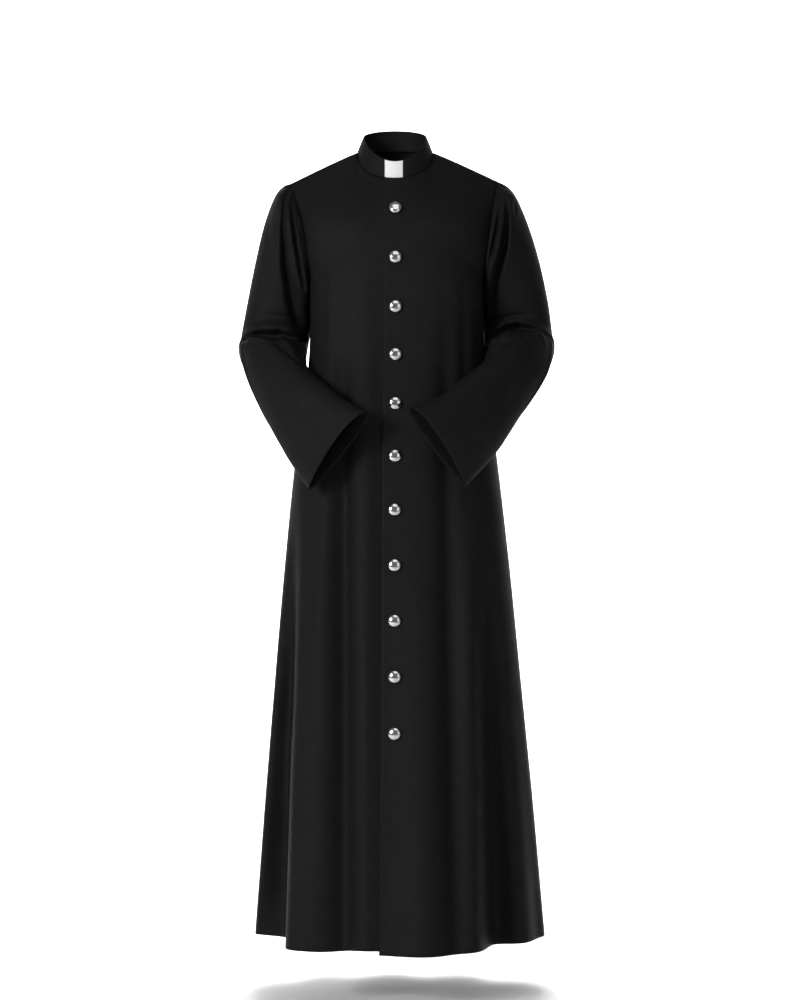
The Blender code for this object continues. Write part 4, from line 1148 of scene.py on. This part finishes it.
@dataclass
class Sleeve:
    """A full sleeve, gathered into the armhole, with a wide open cuff."""

    side: Side
    body: Body
    rows_per_span: int = 16
    outer_square: float = 2.1
    wall: float = 0.0012
    cuff_wall: float = 0.0022
    cuff_turn: float = 0.025
    gather: float = 0.0004
    gather_run: float = 0.018
    crease_start: float = 0.010
    furrow_start: float = 0.008
    furrow_face: float = 0.30
    gap: float = 0.00006

    def ring(self, ring: Ring, path: np.ndarray, columns: int) -> np.ndarray:
        """Points of a ring, from its outer point round by the front."""
        outer, inner = np.array(ring.outer), np.array(ring.inner)
        middle, long_axis = (outer + inner) / 2.0, (outer - inner) / 2.0
        front_axis = unit(np.cross(long_axis, path) * -self.side.value)
        angle = circle(columns)
        along, forward = np.cos(angle), np.sin(angle)
        square = np.where(along < 0.0, ring.square, self.outer_square)
        size = (np.abs(along) ** square + np.abs(forward) ** square) ** (1.0 / square)
        along, forward = along / size, forward / size
        forward = forward * np.where(forward > 0.0, ring.front, ring.rear)
        forward = forward * (1.0 - ring.pinch * (1.0 + along) / 2.0)
        return middle + long_axis * along[:, None] + front_axis * forward[:, None]

    def crease_out(self, grid: np.ndarray, places: np.ndarray) -> np.ndarray:
        """How far each point is moved out by the creases and gathers."""
        around = np.degrees(circle(grid.shape[0]))
        centre = grid.mean(axis=0)
        radius = np.linalg.norm(grid - centre, axis=-1).mean(axis=0)
        steps = np.linalg.norm(np.diff(centre, axis=0), axis=-1)
        length = np.concatenate([[0.0], np.cumsum(steps)])
        total = np.zeros(grid.shape[:2])
        for crease in SLEEVE_CREASES:
            start = float(np.interp(crease.span_from, places, length))
            end = float(np.interp(crease.span_to, places, length))
            spread = float(np.interp((crease.span_from + crease.span_to) / 2, places, radius))
            turn = (around - crease.angle_from + 180.0) % 360.0 - 180.0
            across = np.radians(turn)[:, None] * radius[None, :]
            reach = math.radians(crease.angle_to - crease.angle_from) * spread
            along = np.broadcast_to(length[None, :], across.shape)
            away, part = segment_distance(along, across, (start, 0.0), (end, reach))
            total += crease.depth * fade_ends(part) * bell(away, crease.width)
        angle = np.radians(around)
        ripple = (np.sin(31.0 * angle) + 0.7 * np.sin(19.0 * angle + 1.3)
                  + 0.5 * np.sin(43.0 * angle + 0.4))
        crown = 0.35 + 0.65 * np.maximum(np.cos(angle * 0.5), 0.0)
        total += self.gather * (ripple * crown)[:, None] * np.exp(-length / self.gather_run)[None, :]
        return total * ease(length / self.crease_start)[None, :]

    def furrow_in(self, grid: np.ndarray) -> np.ndarray:
        """How far each point is moved back by the deep folds of the front."""
        x, z = grid[..., 0], grid[..., 2]
        total = np.zeros(grid.shape[:2])
        for furrow in SLEEVE_FURROWS[self.side]:
            nearest = np.full(grid.shape[:2], np.inf)
            move = np.zeros(grid.shape[:2])
            spots = np.array(furrow.places)
            for number, (start, end) in enumerate(zip(spots[:-1], spots[1:])):
                away, part = segment_distance(x, z, start[:2], end[:2])
                left = (end[0] - start[0]) * (z - start[1]) > (end[1] - start[1]) * (x - start[0])
                here = start + (end - start) * part[..., None]
                width = np.where(left, here[..., 2], here[..., 3])
                tail = (number + part) / (len(spots) - 1)
                size = here[..., 4] * fade_ends(tail) * bell(away, width)
                closer = away < nearest
                move = np.where(closer, size, move)
                nearest = np.minimum(away, nearest)
            total += move
        angle = circle(len(grid))
        from_seam = run_lengths(grid, 1)
        front = ease(np.sin(angle) / self.furrow_face)[:, None]
        return total * front * ease(from_seam / self.furrow_start)

    def build(self) -> Shell:
        """Shape the sleeve on the body's armhole.

        Returns:
            The sleeve's shell, its first row in the armhole seam.
        """
        is_left = self.side is Side.LEFT
        armhole, body_normals = (with_middles(v) for v in self.body.armhole(is_left))
        columns = len(armhole)
        rings = RINGS[self.side]
        middles = np.array([armhole.mean(axis=0)]
                           + [(np.array(r.outer) + np.array(r.inner)) / 2.0 for r in rings])
        paths = np.gradient(middles, axis=0)
        paths[:, 1] = np.minimum(paths[:, 1], 0.0)
        keys = [armhole] + [self.ring(r, paths[i + 1], columns) for i, r in enumerate(rings)]
        places = np.linspace(0.0, len(rings), len(rings) * self.rows_per_span + 1)
        curve = Spline(np.arange(len(keys), dtype=float), np.array(keys))
        grid = curve.at(places).transpose(1, 0, 2)
        sign = float(self.side.value)
        shell = Shell(grid, grid_normals(grid, True, sign), True, sign)
        shell.move_out(self.crease_out(grid, places))
        shell.points[..., 1] += self.furrow_in(grid)
        shell.renew_normals()
        seam_normals = unit(body_normals + shell.normals[:, 0])
        along = np.roll(armhole, -1, axis=0) - np.roll(armhole, 1, axis=0)
        step = across_seam(seam_normals, along, shell.points[:, 2] - shell.points[:, 0])
        shell.points[:, 0] += step * self.gap
        shell.normals[:, 0] = seam_normals
        self.body.set_armhole_normals(is_left, seam_normals[::2])
        return shell

    def dress(self, shell: Shell, material: bpy.types.Material) -> None:
        """Make the piece and hide the imported solid of that part."""
        word = self.side.name.lower()
        name = f"{word}_sleeve_cloth"
        node = f"sleeve_{word}"
        from_cuff = run_lengths(shell.points[:, ::-1], 1)[:, ::-1]
        turned = 1.0 - ease((from_cuff - self.cuff_turn) / TURN_EDGE)
        wall = self.wall + (self.cuff_wall - self.wall) * turned
        piece = shell.make(name, wall, material)
        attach(piece, "root")
        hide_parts(node)
        LOG.info("%s made", name)


@dataclass
class Collar:
    """The stand collar, open at the front, and the strip that fills its gap."""

    form: BodyForm
    gap_x: tuple[float, float] = (-0.0208, 0.0154)
    top_half: float = 0.0605
    top_front: tuple[float, float] = (-0.0715, -0.0235)
    top_side_z: float = 0.031
    top_back: tuple[float, float] = (0.052, 0.048)
    wall: float = 0.0026
    edge_round: float = 0.0012
    foot_turn: float = 0.0030
    columns: int = 220
    rows: int = 26
    foot_gap: float = 0.0005
    round_run: float = 0.0025
    stitch_depth: float = 0.0004
    stitch_from_edge: float = 0.0050
    stitch_width: float = 0.0009
    tab_margin: float = 0.006
    tab_wall: float = 0.0012
    tab_foot_gap: float = 0.0008
    tab_top_gap: float = 0.0012
    tab_behind: float = 0.0009
    tab_columns: int = 48

    def top(self, angle: np.ndarray) -> np.ndarray:
        """Points of the top edge at angles from the centre front."""
        cosine = np.cos(angle)
        fore, rear = np.maximum(cosine, 0.0), np.maximum(-cosine, 0.0)
        z = (self.top_side_z + (self.top_front[1] - self.top_side_z) * fore ** 1.2
             + (self.top_back[1] - self.top_side_z) * rear)
        return np.stack([self.top_half * np.sin(angle),
                         self.top_front[0] * fore + self.top_back[0] * rear, z], -1)

    def strip(self, foot: np.ndarray, top: np.ndarray, low: float, high: float) -> Shell:
        """A band between two lines, held back from each by a distance."""
        rise = unit(top - foot)
        foot, top = foot + rise * low, top - rise * high
        steps = np.linspace(0.0, 1.0, self.rows + 1)[None, :, None]
        grid = foot[:, None] + (top - foot)[:, None] * steps
        return Shell(grid, grid_normals(grid, False, 1.0), False, 1.0)

    def dress(self, cloth: bpy.types.Material, white: bpy.types.Material) -> None:
        """Make the band and the strip and hide the imported solids of those parts."""
        half = self.form.neck_half
        ends = [math.asin(self.gap_x[1] / half), FULL + math.asin(self.gap_x[0] / half)]
        top_ends = [math.asin(self.gap_x[1] / self.top_half),
                    FULL + math.asin(self.gap_x[0] / self.top_half)]
        foot = self.form.neckline(np.linspace(*ends, self.columns + 1))
        top = self.top(np.linspace(*top_ends, self.columns + 1))
        band = self.strip(foot, top, self.foot_gap, 0.0)
        across, up = run_lengths(band.points, 0), run_lengths(band.points, 1)
        edge = np.minimum(np.minimum(across, across[-1] - across),
                          np.minimum(up, up[:, -1:] - up))
        rounding = self.edge_round * (1.0 - ease(edge / self.round_run)) ** 2
        seam = self.stitch_depth * bell(edge - self.stitch_from_edge, self.stitch_width)
        full = band.normals
        band.move_out(-rounding - seam)
        band.normals = full
        piece = band.make("collar_band", self.wall - 1.6 * rounding - seam, cloth,
                          self.foot_turn)
        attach(piece, "root")
        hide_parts("collar")
        reach = np.linspace(self.gap_x[0] - self.tab_margin,
                            self.gap_x[1] + self.tab_margin, self.tab_columns + 1)
        low_edge = self.form.neckline(np.arcsin(reach / half))
        high_edge = self.top(np.arcsin(reach / self.top_half))
        tab = self.strip(low_edge, high_edge, self.tab_foot_gap, self.tab_top_gap)
        tab.move_out(np.full(tab.points.shape[:2], -(self.wall + self.tab_behind)))
        piece = tab.make("white_tab", self.tab_wall, white)
        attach(piece, "root")
        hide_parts("collar_tab")
        LOG.info("collar made")


@dataclass
class Buttons:
    """Eleven domed shank buttons on the upper front."""

    front: Shell
    radius: float = 0.0122
    segments: int = 56
    places: tuple[tuple[float, float], ...] = (
        (0.0006, -0.1198), (0.0006, -0.2138), (0.0008, -0.3069), (0.0008, -0.3970),
        (0.0004, -0.4890), (0.0000, -0.5880), (-0.0006, -0.6890), (-0.0006, -0.7930),
        (-0.0006, -0.8963), (-0.0003, -1.0004), (-0.0005, -1.1056))

    def profile(self) -> list[tuple[float, float]]:
        """Radius and height of the turned form, from under the shank to the crown."""
        radius = self.radius
        steps = [(0.0, 0.0003), (0.0026, 0.0003), (0.0030, 0.0007), (0.0027, 0.0024),
                 (0.0040, 0.0029), (radius - 0.0016, 0.0031), (radius - 0.0005, 0.0033),
                 (radius, 0.0039), (radius - 0.0002, 0.0045)]
        crown, shoulder = 0.0092, 0.0045
        for step in range(1, 15):
            angle = QUARTER * step / 15.0
            steps.append(((radius - 0.0004) * math.cos(angle) ** 0.92,
                          shoulder + (crown - shoulder) * math.sin(angle)))
        steps.append((0.0, crown))
        return steps

    def place(self, x: float, z: float) -> tuple[np.ndarray, np.ndarray]:
        """Point and normal of the front, seen from straight ahead at x and z."""
        points = self.front.points
        near = (points[:12, :, 0] - x) ** 2 + (points[:12, :, 2] - z) ** 2
        i, j = np.unravel_index(np.argmin(near), near.shape)
        point, normal = points[i, j].copy(), self.front.normals[i, j].copy()
        shift = np.array([x - point[0], 0.0, z - point[2]])
        shift[1] = -(normal[0] * shift[0] + normal[2] * shift[2]) / normal[1]
        return point + shift, normal

    def dress(self, material: bpy.types.Material) -> None:
        """Turn each button and stand it on the cloth."""
        profile = self.profile()
        angle = circle(self.segments)
        for number, (x, z) in enumerate(self.places, start=1):
            centre, axis = self.place(x, z)
            first = unit(np.cross(axis, [0.0, 0.0, 1.0]))
            second = np.cross(axis, first)
            around = np.cos(angle)[:, None] * first + np.sin(angle)[:, None] * second
            vertices = [centre + axis * profile[0][1]]
            for radius, height in profile[1:-1]:
                vertices += list(centre + axis * height + around * radius)
            vertices.append(centre + axis * profile[-1][1])
            name = f"domed_button_{number:02d}"
            mesh = smooth_mesh(name, vertices, self.faces(len(profile) - 2), material)
            piece = link_object(name, mesh)
            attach(piece, "root")
            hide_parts(f"button_{number:02d}")
        LOG.info("%d buttons made", len(self.places))

    def faces(self, rings: int) -> list[tuple[int, ...]]:
        """Faces of a turned form with a point at each end."""
        faces: list[tuple[int, ...]] = []
        top = 1 + rings * self.segments
        for i in range(self.segments):
            n = (i + 1) % self.segments
            faces.append((0, 1 + n, 1 + i))
            for ring in range(rings - 1):
                low, high = 1 + ring * self.segments, 1 + (ring + 1) * self.segments
                faces.append((low + i, low + n, high + n, high + i))
            high = 1 + (rings - 1) * self.segments
            faces.append((high + i, high + n, top))
        return faces


@dataclass(frozen=True)
class Light:
    """A soft square light and the point that it is turned to."""

    name: str
    place: tuple[float, float, float]
    size: float
    power: float
    aim: tuple[float, float, float]
    spread: float = 180.0


LIGHTS = (
    Light("key", (-3.0, -3.8, 0.6), 1.3, 186.0, (0.0, 0.0, -0.8)),
    Light("fill", (2.6, -4.2, 0.2), 2.4, 17.0, (0.0, 0.0, -0.8)),
    Light("backdrop", (0.0, 4.6, 3.6), 3.0, 1000.0, (0.0, 7.5, 0.4)),
    Light("top", (0.3, -2.4, 2.3), 2.6, 22.0, (0.0, 0.0, -0.4)),
    Light("floor", (0.0, 1.7, 1.2), 1.2, 34.0, (0.0, 1.5, FLOOR_Z), 80.0),
)


@dataclass
class Studio:
    """Pale floor and backdrop, soft lights and the camera."""

    near_y: float = -9.0
    bend_y: float = 6.3
    bend_radius: float = 1.2
    wall_y: float = 7.5
    wall_top: float = 9.0
    half_width: float = 9.0
    world_strength: float = 0.16
    camera_place: tuple[float, float, float] = (0.00965, -5.5, -0.671)
    film: float = 36.0
    lens: float = 102.59

    def backdrop(self) -> None:
        """A pale sheet that curves up behind the garment."""
        graph = Graph("pale_backdrop")
        cloud = graph.noise(graph.body_place(), 1.5, 2.0)
        graph.coat(cloud, (0.86, 0.86, 0.86), (0.89, 0.89, 0.89), 0.9)
        radius = self.bend_radius
        line = [(self.near_y, 0.0), (self.bend_y, 0.0)]
        line += [(self.bend_y + radius * math.sin(a), radius - radius * math.cos(a))
                 for a in np.linspace(0.0, QUARTER, 14)[1:]]
        line.append((self.wall_y, self.wall_top))
        vertices = [(x, y, FLOOR_Z + z) for x in (-self.half_width, self.half_width)
                    for y, z in line]
        count = len(line)
        faces = [(i, i + count, i + count + 1, i + 1) for i in range(count - 1)]
        mesh = smooth_mesh("studio_floor", vertices, faces, graph.material)
        floor = link_object("studio_floor", mesh)

    def light(self, light: Light) -> None:
        """One light, turned to its point."""
        data = bpy.data.lights.new(light.name, "AREA")
        data.size = light.size
        data.energy = light.power
        data.spread = math.radians(light.spread)
        lamp = link_object(light.name, data)
        lamp.location = light.place
        way = np.array(light.aim) - np.array(light.place)
        level = math.hypot(way[0], way[1])
        lamp.rotation_euler = (math.atan2(level, -way[2]), 0.0, math.atan2(-way[0], way[1]))

    def build(self) -> None:
        """Make the set, the lights, the world and the camera."""
        self.backdrop()
        for light in LIGHTS:
            self.light(light)
        world = bpy.data.worlds.new("studio_world")
        world.use_nodes = True
        back = world.node_tree.nodes["Background"]
        back.inputs[0].default_value = (0.92, 0.93, 0.95, 1.0)
        back.inputs[1].default_value = self.world_strength
        bpy.context.scene.world = world
        bpy.context.scene.view_settings.view_transform = "Standard"
        data = bpy.data.cameras.new("camera")
        data.sensor_fit = "VERTICAL"
        data.sensor_height = self.film
        data.lens = self.lens
        camera = link_object("camera", data)
        camera.location = self.camera_place
        camera.rotation_euler = (QUARTER, 0.0, 0.0)
        bpy.context.scene.camera = camera


def main() -> None:
    """Build and dress the whole garment."""
    logging.basicConfig(level=logging.INFO, format="%(message)s")
    Studio().build()
    cloth = ClothFinish().material("black_suiting")
    white = TabFinish().material("white_strip")
    metal = MetalFinish().material("polished_metal")
    form = BodyForm()
    body = Body(form)
    sleeves = [Sleeve(side, body) for side in Side]
    shells = [sleeve.build() for sleeve in sleeves]
    body.open_seams()
    body.dress(cloth)
    for sleeve, shell in zip(sleeves, shells):
        sleeve.dress(shell, cloth)
    Collar(form).dress(cloth, white)
    Buttons(body.left).dress(metal)


if __name__ == "__main__":
    main()
